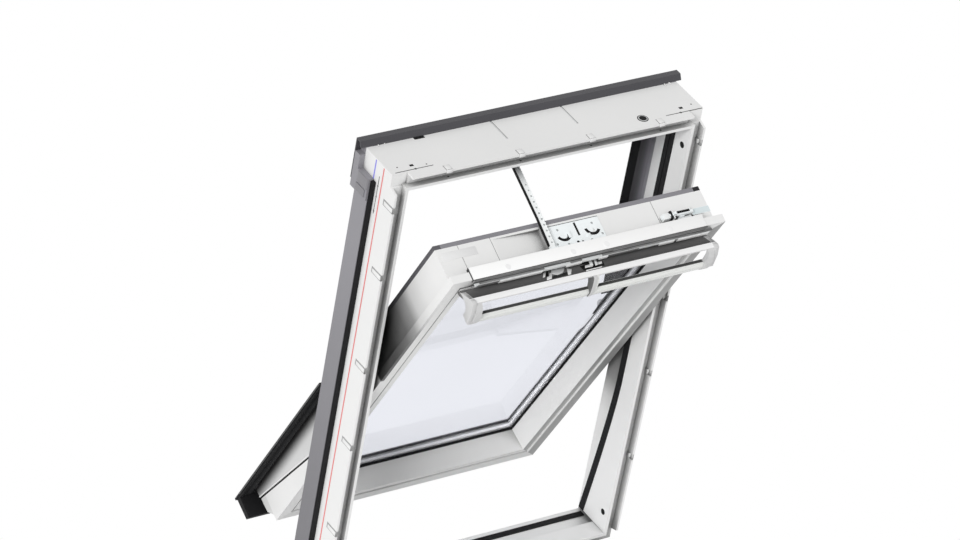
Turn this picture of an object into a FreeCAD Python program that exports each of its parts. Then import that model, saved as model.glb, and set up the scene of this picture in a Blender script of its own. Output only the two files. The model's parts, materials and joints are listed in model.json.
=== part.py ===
# Centre-pivot roof window with moulded white frame and sash, shown swung open.
# Window coordinates: x across from the middle, s up the slope from the frame's
# lower edge, n outward from the room face of the frame's corner blocks.
# A size that ends in _T is measured inward from a member's outer edge.
import math
import os

import FreeCAD
import Part

V = FreeCAD.Vector

# Overall sizes
WIDTH = 780.0
HEIGHT = 1178.0
PITCH_DEG = 73.5
OPEN_DEG = 26.0
SEAT_N = 41.0

# Frame section: lips and lining groove on the room side, rebate outside
FRAME_N = 105.0
OUTER_LIP_N = -23.0
INNER_LIP_N = -19.0
OUTER_LIP_T = 5.0
GROOVE_T = 27.0
GROOVE_N = -4.0
FRAME_T = 34.0
REBATE_T = 22.0
CORNER_BLOCK = 30.0
LIP_CHAMFER = 8.0
CLIP_NOTCH_LENGTH = 16.0
CLIP_NOTCH_N = -12.0
CLIP_SHARES = (0.21, 0.41, 0.585, 0.79, 0.935)
TOP_CLIP_X = (-264.0, -85.0, 92.0, 270.0)

# Stop along the frame's inner edge, which curves outward below the pivots
STOP_N = 31.0
LOW_STOP_N = 75.0
STOP_CURVE_LENGTH = 420.0
STOP_CURVE_POWER = 1.35
SILL_STEP_T = 13.6
SILL_STEP_N = 49.0
SILL_T = 11.6

# Seals of the frame
SEAL_GAP = 0.3
SEAL_PROUD = 1.5
SEAL_WIDTH = 18.0
TOP_SEAL_WIDTH = 29.0
SEAL_GROOVE = 2.0
SILL_SEAL_N0 = 72.0
SILL_SEAL_N1 = 92.0
SILL_SEAL_THICK = 2.2

# Outer covers of the frame
COVER_X = 9.0
COVER_THICK = 2.0
COVER_N0 = 61.0
COVER_N1 = 111.0
COVER_FOOT_T = 14.0
UPPER_COVER_N = 125.0
UPPER_COVER_T = 47.0
COVER_RUBBER_T = 70.0
COVER_RUBBER_THICK = 1.6
CORNER_COVER_LENGTH = 103.0
CORNER_COVER_X = 13.0
CORNER_PLATE = 53.0
CORNER_DROP = 16.0
HOOD_RISE = 14.0
HOOD_N = 127.0
HOOD_FRONT_N = 112.0
HOOD_THICK = 3.0
HOOD_LENGTH = 84.0
HOOD_FOOT = 44.0
SIDE_STRIP_THICK = 6.7
SIDE_STRIP_END = 52.0
SIDE_STRIP_N0 = 51.0
SIDE_STRIP_N1 = 76.0

# Sash, closed, placed from the frame's outer edges
SASH_GAP_T = 48.5
SASH_TOP_GAP = 49.0
SASH_BOTTOM_GAP = 39.0
FLANGE_STEP = 7.5
TOP_STEP = 23.6
PIVOT_N = 118.0
FLANGE_N = 19.6
FLANGE_THICK = 18.9
SASH_OUT_N = 113.0
FLAT_T = 26.5
RIDGE_T = 46.5
RIDGE_STEP = 1.5
GLASS_EDGE_T = 57.5
TOP_EXTRA_T = 7.5
BEAD_N = 70.5
GLAZING_SEAT = 9.0
BODY_SLOPE = 36.0
SKIRT_S = 15.5

# Glazing unit
GLASS_N = 76.5
GLASS_UNIT = 20.0
PANE_THICK = 4.0
GLASS_BITE = 8.0
SPACER_WIDTH = 12.0

# Sash cladding and its lower side covers
CLAD_THICK = 10.0
CLAD_LIP = 4.0
LIP_THICK = 2.0
CLAD_CREST_T = 26.6
WING_CREST_T = 11.0
WING_N = 119.5
WING_THICK = 2.0
WING_X = 10.0
WING_DROP = 27.0
LEAF_FOOT_N = 91.0
LEAF_TAPER = 0.141
WING_SEAL_DEPTH = 12.0
WING_SEAL_STEP = 6.0
WING_SEAL_WIDTH = 18.0
WING_SEAL_LOBE = 7.0
APRON_N = 62.0
PIVOT_CLEAR = 20.0

# Pivots
PIN_R = 7.0
EAR_R = 14.0
PLATE_THICK = 4.0
PLATE_HALF = 45.0
PLATE_N0 = 66.0
PLATE_N1 = 100.0
BOSS_R = 16.0
BOSS_DEPTH = 12.0

# Fittings of the sash top
STRIP_INSET = 48.5
STRIP_RISE = 1.0
STRIP_THICK = 11.0
STRIP_N0 = 17.0
STRIP_N1 = 48.0
GRIP_INSET = 58.0
END_THICK = 15.0
FLAP_INSET = 32.5
CHAIN_X = -73.0
CHAIN_WIDTH = 12.0
CHAIN_THICK = 8.0
CHAIN_EXIT_N = 80.0
CHAIN_BOW = 2.0
CHAIN_ROOM = 18.0

HW = WIDTH / 2.0
SASH_HALF = HW - SASH_GAP_T
BODY_HALF = SASH_HALF - FLANGE_STEP
SASH_TOP = HEIGHT - SASH_TOP_GAP
SASH_BOTTOM = SASH_BOTTOM_GAP
BODY_TOP = SASH_TOP - TOP_STEP
PIVOT_S = HEIGHT / 2.0
FLANGE_BACK_N = FLANGE_N + FLANGE_THICK
GLASS_OUT_N = GLASS_N + GLASS_UNIT
NEAR_N = OUTER_LIP_N - 10.0
FAR_N = WING_N + 30.0
CORNER_COVER_N = HOOD_N - HOOD_THICK - SEAL_GAP


def p(x, s, n):
    return V(x, s, -n)


def prism_x(points, x0, x1):
    """Profile of (s, n) points run across from x0 to x1."""
    pts = [p(x0, s, n) for s, n in points]
    face = Part.Face(Part.makePolygon(pts + pts[:1]))
    return face.extrude(V(x1 - x0, 0, 0))


def prism_s(points, s0, s1):
    """Profile of (x, n) points run up the slope from s0 to s1."""
    pts = [p(x, s0, n) for x, n in points]
    face = Part.Face(Part.makePolygon(pts + pts[:1]))
    return face.extrude(V(0, s1 - s0, 0))


def prism_n(points, n0, n1):
    """Outline of (x, s) points run outward from n0 to n1."""
    pts = [p(x, s, n0) for x, s in points]
    face = Part.Face(Part.makePolygon(pts + pts[:1]))
    return face.extrude(V(0, 0, n0 - n1))


def block(x0, x1, s0, s1, n0, n1):
    return Part.makeBox(x1 - x0, s1 - s0, n1 - n0, V(x0, s0, -n1))


def rod_x(x0, x1, s, n, r):
    return Part.makeCylinder(r, x1 - x0, p(x0, s, n), V(1, 0, 0))


def rod_s(x, s0, s1, n, r):
    return Part.makeCylinder(r, s1 - s0, p(x, s0, n), V(0, 1, 0))


def mirror(shape):
    return shape.mirror(V(0, 0, 0), V(1, 0, 0))


def fuse(shapes):
    out = shapes[0]
    for other in shapes[1:]:
        out = out.fuse(other)
    return out.removeSplitter()


def cut(shape, tools):
    for tool in tools:
        shape = shape.cut(tool)
    return shape


def one_solid(shape):
    solids = shape.Solids
    if len(solids) == 1:
        return solids[0]
    raise ValueError("%d solids" % len(solids))


def mitre(shape, side, half, low, high):
    """Keep the part of a member between the diagonals of a frame's corners."""
    far = min(half, (high - low) / 2.0)
    if side == "left":
        pts = [(-half, low), (-half + far, low + far), (-half + far, high - far), (-half, high)]
    elif side == "top":
        pts = [(-half, high), (-half + far, high - far), (half - far + 0.01, high - far), (half, high)]
    else:
        pts = [(-half, low), (half, low), (half - far + 0.01, low + far), (-half + far, low + far)]
    return shape.common(prism_n(pts, NEAR_N, FAR_N))


frame_parts = {}
sash_parts = {}


# Frame members
def stop_n(s):
    """Depth of the stop's outer edge at height s."""
    share = max(0.0, (STOP_CURVE_LENGTH - s) / STOP_CURVE_LENGTH)
    return STOP_N + (LOW_STOP_N - STOP_N) * share ** STOP_CURVE_POWER


def stop_band(s0, s1, n_base, offset, x0, x1):
    """Solid between depth n_base, or the stop when None, and the stop's curve plus offset."""
    count = 12
    low = [s0 + (min(s1, STOP_CURVE_LENGTH) - s0) * i / count for i in range(count + 1)]
    outer = [p(x0, s, stop_n(s) + offset) for s in low]
    curve = Part.BSplineCurve()
    curve.interpolate(outer)
    edges = [curve.toShape()]
    end = p(x0, s1, STOP_N + offset)
    if s1 > STOP_CURVE_LENGTH:
        edges.append(Part.makeLine(outer[-1], end))
    if n_base is None:
        inner = [p(x0, s, stop_n(s) + SEAL_GAP) for s in low]
        back = Part.BSplineCurve()
        back.interpolate(inner)
        turn = p(x0, s1, STOP_N + SEAL_GAP)
        edges.append(Part.makeLine(end, turn))
        if s1 > STOP_CURVE_LENGTH:
            edges.append(Part.makeLine(turn, inner[-1]))
        edges.append(back.toShape())
        edges.append(Part.makeLine(inner[0], outer[0]))
    else:
        edges.append(Part.makeLine(end, p(x0, s1, n_base)))
        edges.append(Part.makeLine(p(x0, s1, n_base), p(x0, s0, n_base)))
        edges.append(Part.makeLine(p(x0, s0, n_base), outer[0]))
    wire = Part.Wire(Part.__sortEdges__(edges))
    return Part.Face(wire).extrude(V(x1 - x0, 0, 0))


SIDE = [
    (0.0, OUTER_LIP_N), (OUTER_LIP_T, OUTER_LIP_N), (OUTER_LIP_T, GROOVE_N), (GROOVE_T, GROOVE_N),
    (GROOVE_T, INNER_LIP_N), (FRAME_T, INNER_LIP_N), (FRAME_T, STOP_N), (REBATE_T, STOP_N),
    (REBATE_T, FRAME_N), (0.0, FRAME_N),
]
SILL = SIDE[:6] + [
    (FRAME_T - 2.0, STOP_N), (SILL_STEP_T, SILL_STEP_N), (SILL_T, SILL_SEAL_N0), (SILL_T, FRAME_N),
    (0.0, FRAME_N),
]


def lip_relief(x_side, s_side):
    """Tool that takes the outer lip off one corner block, with chamfered lip ends."""
    s0 = 0.0 if s_side < 0 else HEIGHT
    reach = CORNER_BLOCK + LIP_CHAMFER
    tool = prism_x([(s0 + s_side, 0.0), (s0 + s_side, OUTER_LIP_N - 1.0),
                    (s0 - s_side * reach, OUTER_LIP_N - 1.0), (s0 - s_side * CORNER_BLOCK, 0.0)], 0.0, reach)
    tool.translate(V(-HW - 1.0 if x_side < 0 else HW + 1.0 - reach, 0, 0))
    return tool.cut(block(-HW + GROOVE_T, HW - GROOVE_T, GROOVE_T, HEIGHT - GROOVE_T, NEAR_N, FRAME_N))


def lip_notch_side(s):
    return block(-HW - 1.0, -HW + OUTER_LIP_T + 1.0, s - CLIP_NOTCH_LENGTH / 2, s + CLIP_NOTCH_LENGTH / 2,
                 OUTER_LIP_N - 1.0, CLIP_NOTCH_N)


reliefs = [lip_relief(a, b) for a in (-1, 1) for b in (-1, 1)]
left = prism_s([(-HW + t, n) for t, n in SIDE], 0.0, HEIGHT)
left = left.fuse(stop_band(0.0, STOP_CURVE_LENGTH, 0.0, 0.0, -HW + REBATE_T, -HW + FRAME_T))
left = left.removeSplitter()
left = mitre(left, "left", HW, 0.0, HEIGHT)
HOLE_R = 5.0
HOLE_DEPTH = 8.0
HOLE_INSET = 56.0
holes = [rod_x(-HW + FRAME_T - HOLE_DEPTH, -HW + FRAME_T + 1.0, s, 2.0, HOLE_R)
         for s in (FRAME_T + HOLE_INSET - 8.0, HEIGHT - FRAME_T - HOLE_INSET)]
left = cut(left, reliefs + holes + [lip_notch_side(k * HEIGHT) for k in CLIP_SHARES])
frame_parts["frame_left"] = left
frame_parts["frame_right"] = mirror(left)

top_section = SIDE[:3] + [(FRAME_T, GROOVE_N)] + SIDE[6:]
top = prism_x([(HEIGHT - t, n) for t, n in top_section], -HW, HW)
top = mitre(top, "top", HW, 0.0, HEIGHT)
top_lip = block(-HW, HW, HEIGHT - FRAME_T, HEIGHT - GROOVE_T, INNER_LIP_N, GROOVE_N)
frame_parts["lining_lip_top"] = mitre(top_lip, "top", HW, 0.0, HEIGHT)
ROUTE_WIDTH = 4.0
ROUTE_DEPTH = 2.0
BORE_X = 239.0
BORE_R = 10.0
BORE_DEPTH = 10.0
BORE_N = 7.6
ROUTE_N0 = 37.0
SLOT_HALF = 13.0
SLOT_DEPTH = 5.0
SLOT_N0 = 97.0
routed = [block(x - ROUTE_WIDTH / 2.0, x + ROUTE_WIDTH / 2.0, HEIGHT - ROUTE_DEPTH, HEIGHT + 1.0,
                ROUTE_N0, FRAME_N + 1.0) for x in TOP_CLIP_X[1:3]]
bore = Part.makeCylinder(BORE_R, BORE_DEPTH, p(BORE_X, HEIGHT - BORE_DEPTH + 1.0, BORE_N), V(0, 1, 0))
cover_slot = block(TOP_CLIP_X[0] - SLOT_HALF, TOP_CLIP_X[0] + SLOT_HALF, HEIGHT - SLOT_DEPTH, HEIGHT + 1.0,
                   SLOT_N0, FRAME_N + 1.0)
top = cut(top, reliefs + routed + [bore, cover_slot])
frame_parts["frame_top"] = top

bottom = prism_x(SILL, -HW, HW)
bottom = mitre(bottom, "bottom", HW, 0.0, HEIGHT)
frame_parts["frame_bottom"] = cut(bottom, reliefs)

# Seals in the frame's rebate
seal_x0 = -HW + REBATE_T + SEAL_GAP
seal_x1 = -HW + FRAME_T + SEAL_PROUD
seal_low = stop_band(FRAME_T, PIVOT_S, None, SEAL_WIDTH, seal_x0, seal_x1)
seal_high = block(seal_x0, seal_x1, PIVOT_S, HEIGHT - FRAME_T - SEAL_GAP, STOP_N + SEAL_GAP,
                  STOP_N + TOP_SEAL_WIDTH)
seal_mid_n = STOP_N + TOP_SEAL_WIDTH / 2.0
seal_line = block(seal_x1 - SEAL_GROOVE, seal_x1 + 1.0, PIVOT_S + 10.0, HEIGHT, seal_mid_n - 1.0,
                  seal_mid_n + 1.0)
seal = fuse([seal_low, seal_high]).cut(seal_line)
frame_parts["frame_seal_left"] = seal
frame_parts["frame_seal_right"] = mirror(seal)
SEAL_END_X = HW - FRAME_T - SEAL_PROUD - SEAL_GAP
seal_top = block(-SEAL_END_X, SEAL_END_X, HEIGHT - FRAME_T - SEAL_PROUD, HEIGHT - REBATE_T - SEAL_GAP,
                 STOP_N + SEAL_GAP, STOP_N + TOP_SEAL_WIDTH)
seal_room = block(CHAIN_X - CHAIN_ROOM / 2.0, CHAIN_X + CHAIN_ROOM / 2.0, HEIGHT - HW, HEIGHT,
                  STOP_N + TOP_SEAL_WIDTH / 3.0, FRAME_N)
frame_parts["frame_seal_top"] = seal_top.cut(seal_room)
frame_parts["frame_seal_bottom"] = block(-HW + REBATE_T + 1.0, HW - REBATE_T - 1.0, SILL_T,
                                         SILL_T + SILL_SEAL_THICK, SILL_SEAL_N0 + 5.0, SILL_SEAL_N1)

# Outer covers of the frame
CORNER_S = HEIGHT + 1.0 - CORNER_COVER_LENGTH
UPPER_S = PIVOT_S + PIVOT_CLEAR + 10.0
foot_t = COVER_FOOT_T + COVER_THICK
lower = [
    (-COVER_X, COVER_N0), (-COVER_X + COVER_THICK, COVER_N0),
    (-COVER_X + COVER_THICK, COVER_N1 - COVER_THICK), (COVER_FOOT_T, COVER_N1 - COVER_THICK),
    (COVER_FOOT_T, FRAME_N), (foot_t, FRAME_N), (foot_t, COVER_N1), (-COVER_X, COVER_N1),
]
upper = [
    (COVER_FOOT_T, COVER_N1 - COVER_THICK), (foot_t, COVER_N1 - COVER_THICK),
    (foot_t, UPPER_COVER_N - COVER_THICK), (UPPER_COVER_T, UPPER_COVER_N - COVER_THICK),
    (UPPER_COVER_T, UPPER_COVER_N), (COVER_FOOT_T, UPPER_COVER_N),
]
side_cover = fuse([prism_s([(-HW + t, n) for t, n in lower], 0.0, CORNER_S - 1.0),
                   prism_s([(-HW + t, n) for t, n in upper], UPPER_S, CORNER_S - 1.0)])
frame_parts["side_cover_left"] = side_cover
frame_parts["side_cover_right"] = mirror(side_cover)
rubber = block(-HW + UPPER_COVER_T, -HW + COVER_RUBBER_T, UPPER_S, CORNER_S - 1.0,
               UPPER_COVER_N - COVER_RUBBER_THICK, UPPER_COVER_N)
frame_parts["cover_rubber_left"] = rubber
frame_parts["cover_rubber_right"] = mirror(rubber)
strip_step_n = COVER_N0 - 0.5
strip = fuse([block(-HW - SIDE_STRIP_THICK, -HW, 0.0, HEIGHT - SIDE_STRIP_END, SIDE_STRIP_N0, strip_step_n),
              block(-HW - SIDE_STRIP_THICK, -HW, 0.0, CORNER_S - 1.0, strip_step_n, SIDE_STRIP_N1)])
frame_parts["side_strip_left"] = strip
frame_parts["side_strip_right"] = mirror(strip)
corner_x = -HW - CORNER_COVER_X
corner = fuse([block(corner_x, -HW, CORNER_S, CORNER_S + CORNER_PLATE, COVER_N0, FRAME_N),
               block(corner_x, -HW, CORNER_S, HEIGHT - CORNER_DROP, FRAME_N, CORNER_COVER_N),
               block(-HW, -HW + foot_t, CORNER_S, HEIGHT + 1.0, FRAME_N, CORNER_COVER_N)])
frame_parts["corner_cover_left"] = corner
frame_parts["corner_cover_right"] = mirror(corner)
hood_end = HEIGHT - HOOD_LENGTH
hood_top = HEIGHT + HOOD_RISE
hood_inside = hood_top - HOOD_THICK
hood_skin = [
    (HEIGHT + 1.3, FRAME_N), (hood_top, HOOD_FRONT_N), (hood_top, HOOD_N), (hood_end, HOOD_N),
    (hood_end, HOOD_N - HOOD_THICK), (hood_inside, HOOD_N - HOOD_THICK), (hood_inside, HOOD_FRONT_N + 2.0),
    (HEIGHT + 1.3, FRAME_N + 4.5),
]
hood_foot = [
    (HEIGHT - HOOD_FOOT, FRAME_N), (HEIGHT + 1.4, FRAME_N), (HEIGHT + 1.4, FRAME_N + 4.6),
    (HEIGHT, FRAME_N + HOOD_THICK), (HEIGHT - HOOD_FOOT, FRAME_N + HOOD_THICK),
]
frame_parts["hood"] = fuse([prism_x(hood_skin, corner_x, -corner_x),
                            prism_x(hood_foot, -HW + foot_t + SEAL_GAP, HW - foot_t - SEAL_GAP)])

# Pivots: plate on the frame, ear and pin to the boss on the sash
px0 = -HW + REBATE_T
px1 = px0 + PLATE_THICK
pivot = fuse([block(px0, px1, PIVOT_S - PLATE_HALF, PIVOT_S + PLATE_HALF, PLATE_N0, PLATE_N1),
              block(px0, px1, PIVOT_S - EAR_R, PIVOT_S + EAR_R, PLATE_N1, PIVOT_N),
              rod_x(px0, px1, PIVOT_S, PIVOT_N, EAR_R),
              rod_x(px0, -BODY_HALF - SEAL_GAP, PIVOT_S, PIVOT_N, PIN_R)])
frame_parts["pivot_left"] = pivot
frame_parts["pivot_right"] = mirror(pivot)


# Sash members, closed, with _T sizes from the flange's edge
def sash_profile(extra, step):
    """Section of a sash member with the glass edge moved inward by extra."""
    edge_t = GLASS_EDGE_T + extra
    return [
        (0.0, FLANGE_N), (FLAT_T, FLANGE_N), (FLAT_T + 1.0, FLANGE_N + 5.0), (FLAT_T + 4.0, FLANGE_N + 5.0),
        (FLAT_T + 5.0, FLANGE_N + RIDGE_STEP), (RIDGE_T + extra, FLANGE_N + RIDGE_STEP),
        (edge_t, BEAD_N), (edge_t - GLAZING_SEAT, BEAD_N), (edge_t - GLAZING_SEAT, GLASS_OUT_N),
        (edge_t - BODY_SLOPE, SASH_OUT_N), (step, SASH_OUT_N), (step, FLANGE_BACK_N), (0.0, FLANGE_BACK_N),
    ]


WIDE_S = PIVOT_S - PIVOT_CLEAR - 40.0
over_top = block(-HW, HW, BODY_TOP, HEIGHT, FLANGE_BACK_N, FAR_N)
side = prism_s([(-SASH_HALF + t, n) for t, n in sash_profile(0.0, FLANGE_STEP)], SASH_BOTTOM, SASH_TOP)
side = mitre(side, "left", SASH_HALF, SASH_BOTTOM, SASH_TOP).cut(over_top)
side = fuse([side, block(-SASH_HALF, -BODY_HALF, SASH_BOTTOM, WIDE_S, FLANGE_BACK_N, SASH_OUT_N),
             rod_x(-BODY_HALF, -BODY_HALF + BOSS_DEPTH, PIVOT_S, PIVOT_N, BOSS_R)])
sash_parts["sash_left"] = side
sash_parts["sash_right"] = mirror(side)

top_profile = [(SASH_TOP - t, n) for t, n in sash_profile(TOP_EXTRA_T, TOP_STEP)]
sash_top = prism_x(top_profile, -SASH_HALF, SASH_HALF)
sash_top = mitre(sash_top, "top", SASH_HALF, SASH_BOTTOM, SASH_TOP)
beyond = [block(-HW, -BODY_HALF, SASH_BOTTOM, HEIGHT, FLANGE_BACK_N, FAR_N),
          block(BODY_HALF, HW, SASH_BOTTOM, HEIGHT, FLANGE_BACK_N, FAR_N)]
strip_x = SASH_HALF - STRIP_INSET
strip_s0 = SASH_TOP + STRIP_RISE - STRIP_THICK
seat = block(-strip_x, strip_x, strip_s0, HEIGHT, FLANGE_N - 1.0, FLANGE_BACK_N + 1.0)
TROUGH_X0 = -195.0
TROUGH_X1 = -78.0
TROUGH_DEPTH = 12.0
TROUGH_N0 = 56.0
TROUGH_N1 = 108.0
trough = prism_n([(TROUGH_X0, BODY_TOP), (TROUGH_X1, BODY_TOP - TROUGH_DEPTH), (TROUGH_X1, BODY_TOP + 1.0),
                  (TROUGH_X0, BODY_TOP + 1.0)], TROUGH_N0, TROUGH_N1)
JOINT_WIDTH = 1.2
END_BLOCK = 54.0
joint_x = (-BODY_HALF + END_BLOCK, -200.0, 204.0)
joints = [block(x, x + JOINT_WIDTH, BODY_TOP - 1.0, BODY_TOP + 1.0, FLANGE_BACK_N, SASH_OUT_N + 1.0)
          for x in joint_x]
sash_parts["sash_top"] = cut(sash_top, beyond + [seat, trough] + joints)

low = prism_x([(SASH_BOTTOM + t, n) for t, n in sash_profile(0.0, 0.0)], -SASH_HALF, SASH_HALF)
low = mitre(low, "bottom", SASH_HALF, SASH_BOTTOM, SASH_TOP)
skirt = prism_x([(SASH_BOTTOM, FLANGE_BACK_N - 4.0), (SKIRT_S + 2.0, SILL_STEP_N + 3.0),
                 (SKIRT_S, SILL_SEAL_N0), (SKIRT_S, SASH_OUT_N), (SASH_BOTTOM, SASH_OUT_N)],
                -SASH_HALF, SASH_HALF)
sash_parts["sash_bottom"] = fuse([low, skirt])

# Glazing unit with its gasket on the room side
edge = GLASS_EDGE_T - GLASS_BITE
gx = SASH_HALF - edge
gs0 = SASH_BOTTOM + edge
gs1 = SASH_TOP - edge - TOP_EXTRA_T
inner_n = GLASS_N + PANE_THICK
outer_n = GLASS_OUT_N - PANE_THICK


def ring(grow, width, n0, n1):
    """Rectangular ring whose outside stands grow inside the glass edge."""
    full = block(-gx + grow, gx - grow, gs0 + grow, gs1 - grow, n0, n1)
    hole = grow + width
    return full.cut(block(-gx + hole, gx - hole, gs0 + hole, gs1 - hole, n0 - 1.0, n1 + 1.0))


sash_parts["glass_inner"] = block(-gx, gx, gs0, gs1, GLASS_N, inner_n)
sash_parts["glass_outer"] = block(-gx, gx, gs0, gs1, outer_n, GLASS_OUT_N)
sash_parts["glass_spacer"] = ring(2.0, SPACER_WIDTH, inner_n, outer_n)
sash_parts["glazing_gasket"] = ring(0.0, GLASS_BITE + 0.8, BEAD_N, GLASS_N)

# Outer cladding of the sash, with a lip over the glass edge
clad_out = SASH_OUT_N + CLAD_THICK


def clad_profile(extra, step, crest_t, out):
    """Section of the cladding, which falls from its crest to a lip on the glass."""
    edge_t = GLASS_EDGE_T + extra
    return [
        (step, SASH_OUT_N), (edge_t - BODY_SLOPE, SASH_OUT_N), (edge_t - GLAZING_SEAT, GLASS_OUT_N),
        (edge_t + CLAD_LIP, GLASS_OUT_N), (edge_t + CLAD_LIP, GLASS_OUT_N + LIP_THICK),
        (crest_t, out), (step, out),
    ]


edge_strip = prism_s([(-SASH_HALF + t, n) for t, n in clad_profile(0.0, FLANGE_STEP, CLAD_CREST_T, clad_out)],
                     PIVOT_S + PIVOT_CLEAR, SASH_TOP)
edge_strip = mitre(edge_strip, "left", SASH_HALF, SASH_BOTTOM, SASH_TOP).cut(over_top)
sash_parts["edge_strip_left"] = edge_strip
sash_parts["edge_strip_right"] = mirror(edge_strip)
top_cladding = clad_profile(TOP_EXTRA_T, TOP_STEP, CLAD_CREST_T, clad_out)
clad_top = prism_x([(SASH_TOP - t, n) for t, n in top_cladding], -BODY_HALF, BODY_HALF)
sash_parts["cladding_top"] = mitre(clad_top, "top", SASH_HALF, SASH_BOTTOM, SASH_TOP)

wing_t = WING_X - SASH_GAP_T
leaf_t = -WING_THICK
wing_under = WING_N - WING_THICK
wing = clad_profile(0.0, 0.0, WING_CREST_T, WING_N)[:6] + [
    (wing_t, WING_N), (wing_t, wing_under - 2.0), (wing_t + WING_THICK, wing_under - 2.0),
    (wing_t + WING_THICK, wing_under), (leaf_t, wing_under), (leaf_t, FLANGE_BACK_N), (0.0, FLANGE_BACK_N),
]
WING_END = SASH_BOTTOM - SASH_GAP_T + WING_X
lower_cover = prism_s([(-SASH_HALF + t, n) for t, n in wing], WING_END, WIDE_S)
lower_cover = mitre(lower_cover, "left", SASH_HALF - wing_t, SASH_BOTTOM + wing_t, SASH_TOP)
leaf_foot = block(-SASH_HALF - WING_THICK, -SASH_HALF, SKIRT_S, SASH_BOTTOM + 2.0,
                  LEAF_FOOT_N, SASH_OUT_N - 1.0)
leaf_top_s = SKIRT_S + (LEAF_FOOT_N - FLANGE_BACK_N) / LEAF_TAPER
leaf_edge = prism_x([(SKIRT_S - 1.0, LEAF_FOOT_N + LEAF_TAPER), (leaf_top_s, FLANGE_BACK_N),
                     (leaf_top_s, NEAR_N), (SKIRT_S - 1.0, NEAR_N)], -HW, -SASH_HALF)
lower_cover = fuse([lower_cover, leaf_foot]).cut(leaf_edge)
sash_parts["cladding_left"] = lower_cover
sash_parts["cladding_right"] = mirror(lower_cover)
wing_low = clad_profile(0.0, 0.0, WING_CREST_T, WING_N)[:6] + [
    (-SASH_BOTTOM - WING_DROP, WING_N), (-SASH_BOTTOM - WING_DROP, SASH_OUT_N + 1.0),
    (-SASH_BOTTOM - WING_DROP + WING_THICK, SASH_OUT_N + 1.0),
    (-SASH_BOTTOM - WING_DROP + WING_THICK, wing_under), (-SASH_BOTTOM + SKIRT_S, wing_under),
    (-SASH_BOTTOM + SKIRT_S, SASH_OUT_N),
]
clad_low = prism_x([(SASH_BOTTOM + t, n) for t, n in wing_low], -HW + WING_X, HW - WING_X)
slope_cut = prism_n([(-HW + WING_X - 1.0, WING_END - 0.5), (-HW + WING_X, WING_END - 0.5),
                     (-HW + WING_X + 200.0, WING_END + 199.5), (-HW + WING_X - 1.0, WING_END + 199.5)],
                    NEAR_N, FAR_N)
sash_parts["cladding_bottom"] = cut(clad_low, [slope_cut, mirror(slope_cut)])
wing_seal_t0 = WING_X + WING_THICK + 1.0
wing_seal_t1 = wing_seal_t0 + WING_SEAL_WIDTH
wing_lobe_t = wing_seal_t1 - WING_SEAL_LOBE
wing_seal = [
    (wing_seal_t0, wing_under), (wing_seal_t1, wing_under), (wing_seal_t1, wing_under - WING_SEAL_DEPTH),
    (wing_lobe_t, wing_under - WING_SEAL_DEPTH), (wing_lobe_t, wing_under - WING_SEAL_STEP),
    (wing_seal_t0, wing_under - WING_SEAL_STEP),
]
wing_seal = prism_s([(-HW + t, n) for t, n in wing_seal], SKIRT_S, WIDE_S)
sash_parts["cover_seal_left"] = wing_seal
sash_parts["cover_seal_right"] = mirror(wing_seal)
APRON_S0 = -WING_DROP + WING_THICK + 1.0
APRON_S1 = -8.0
apron_end = SKIRT_S - SEAL_GAP
apron = [
    (APRON_S0, wing_under), (APRON_S0 + 2.0, APRON_N), (APRON_S1, APRON_N - 2.0),
    (APRON_S1, SASH_OUT_N - 2.0), (apron_end, SASH_OUT_N - 2.0), (apron_end, wing_under),
]
sash_parts["bottom_apron"] = prism_x(apron, -HW + wing_seal_t0, HW - wing_seal_t0)

# Room-side fittings of the sash top
sash_parts["front_strip"] = block(-strip_x, strip_x, strip_s0 + SEAL_GAP, SASH_TOP + STRIP_RISE,
                                  STRIP_N0, STRIP_N1)
PLATE_X0 = -68.0
PLATE_X1 = 66.0
lock_plate = block(PLATE_X0, PLATE_X1, BODY_TOP, BODY_TOP + 1.5, TROUGH_N0, TROUGH_N1)
lock_slot = block(3.0, 7.5, BODY_TOP - 1.0, BODY_TOP + 3.0, 73.0, TROUGH_N1 - 4.0)
CAMS_X = (-27.0, 38.0)
CAM_N = 76.0
CAM_R = 9.0
arcs = [rod_s(x, BODY_TOP - 1.0, BODY_TOP + 3.0, CAM_N, CAM_R).cut(
        rod_s(x - 4.0, BODY_TOP - 2.0, BODY_TOP + 4.0, CAM_N + 6.0, CAM_R)) for x in CAMS_X]
sash_parts["lock_plate"] = cut(lock_plate, [lock_slot] + arcs)
RAIL_X0 = 288.0
BOLT_X0 = 208.0
RAIL_N0 = 60.0
RAIL_N1 = 74.0
BOLT_R = 5.0
BOLT_S = BODY_TOP + 8.0
sash_parts["bolt_rail"] = block(RAIL_X0, BODY_HALF, BODY_TOP, BODY_TOP + 2.0, RAIL_N0, RAIL_N1)
rail_mid = (RAIL_N0 + RAIL_N1) / 2.0
sash_parts["barrel_bolt"] = fuse([
    rod_x(BOLT_X0, RAIL_X0 - 2.0, BOLT_S, rail_mid, BOLT_R),
    block(BOLT_X0 + 6.0, BOLT_X0 + 20.0, BODY_TOP, BOLT_S, RAIL_N0, RAIL_N1),
    block(BOLT_X0 + 44.0, BOLT_X0 + 56.0, BODY_TOP, BOLT_S, RAIL_N0, RAIL_N1),
    block(BOLT_X0 + 28.0, BOLT_X0 + 34.0, BOLT_S, BOLT_S + 10.0, rail_mid - 3.0, rail_mid + 3.0),
])

# Ventilation flap and its handle bar, as (up from the flange's top, out from the flange's face)
def front(points):
    return [(SASH_TOP + a, FLANGE_N + b) for a, b in points]


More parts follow.
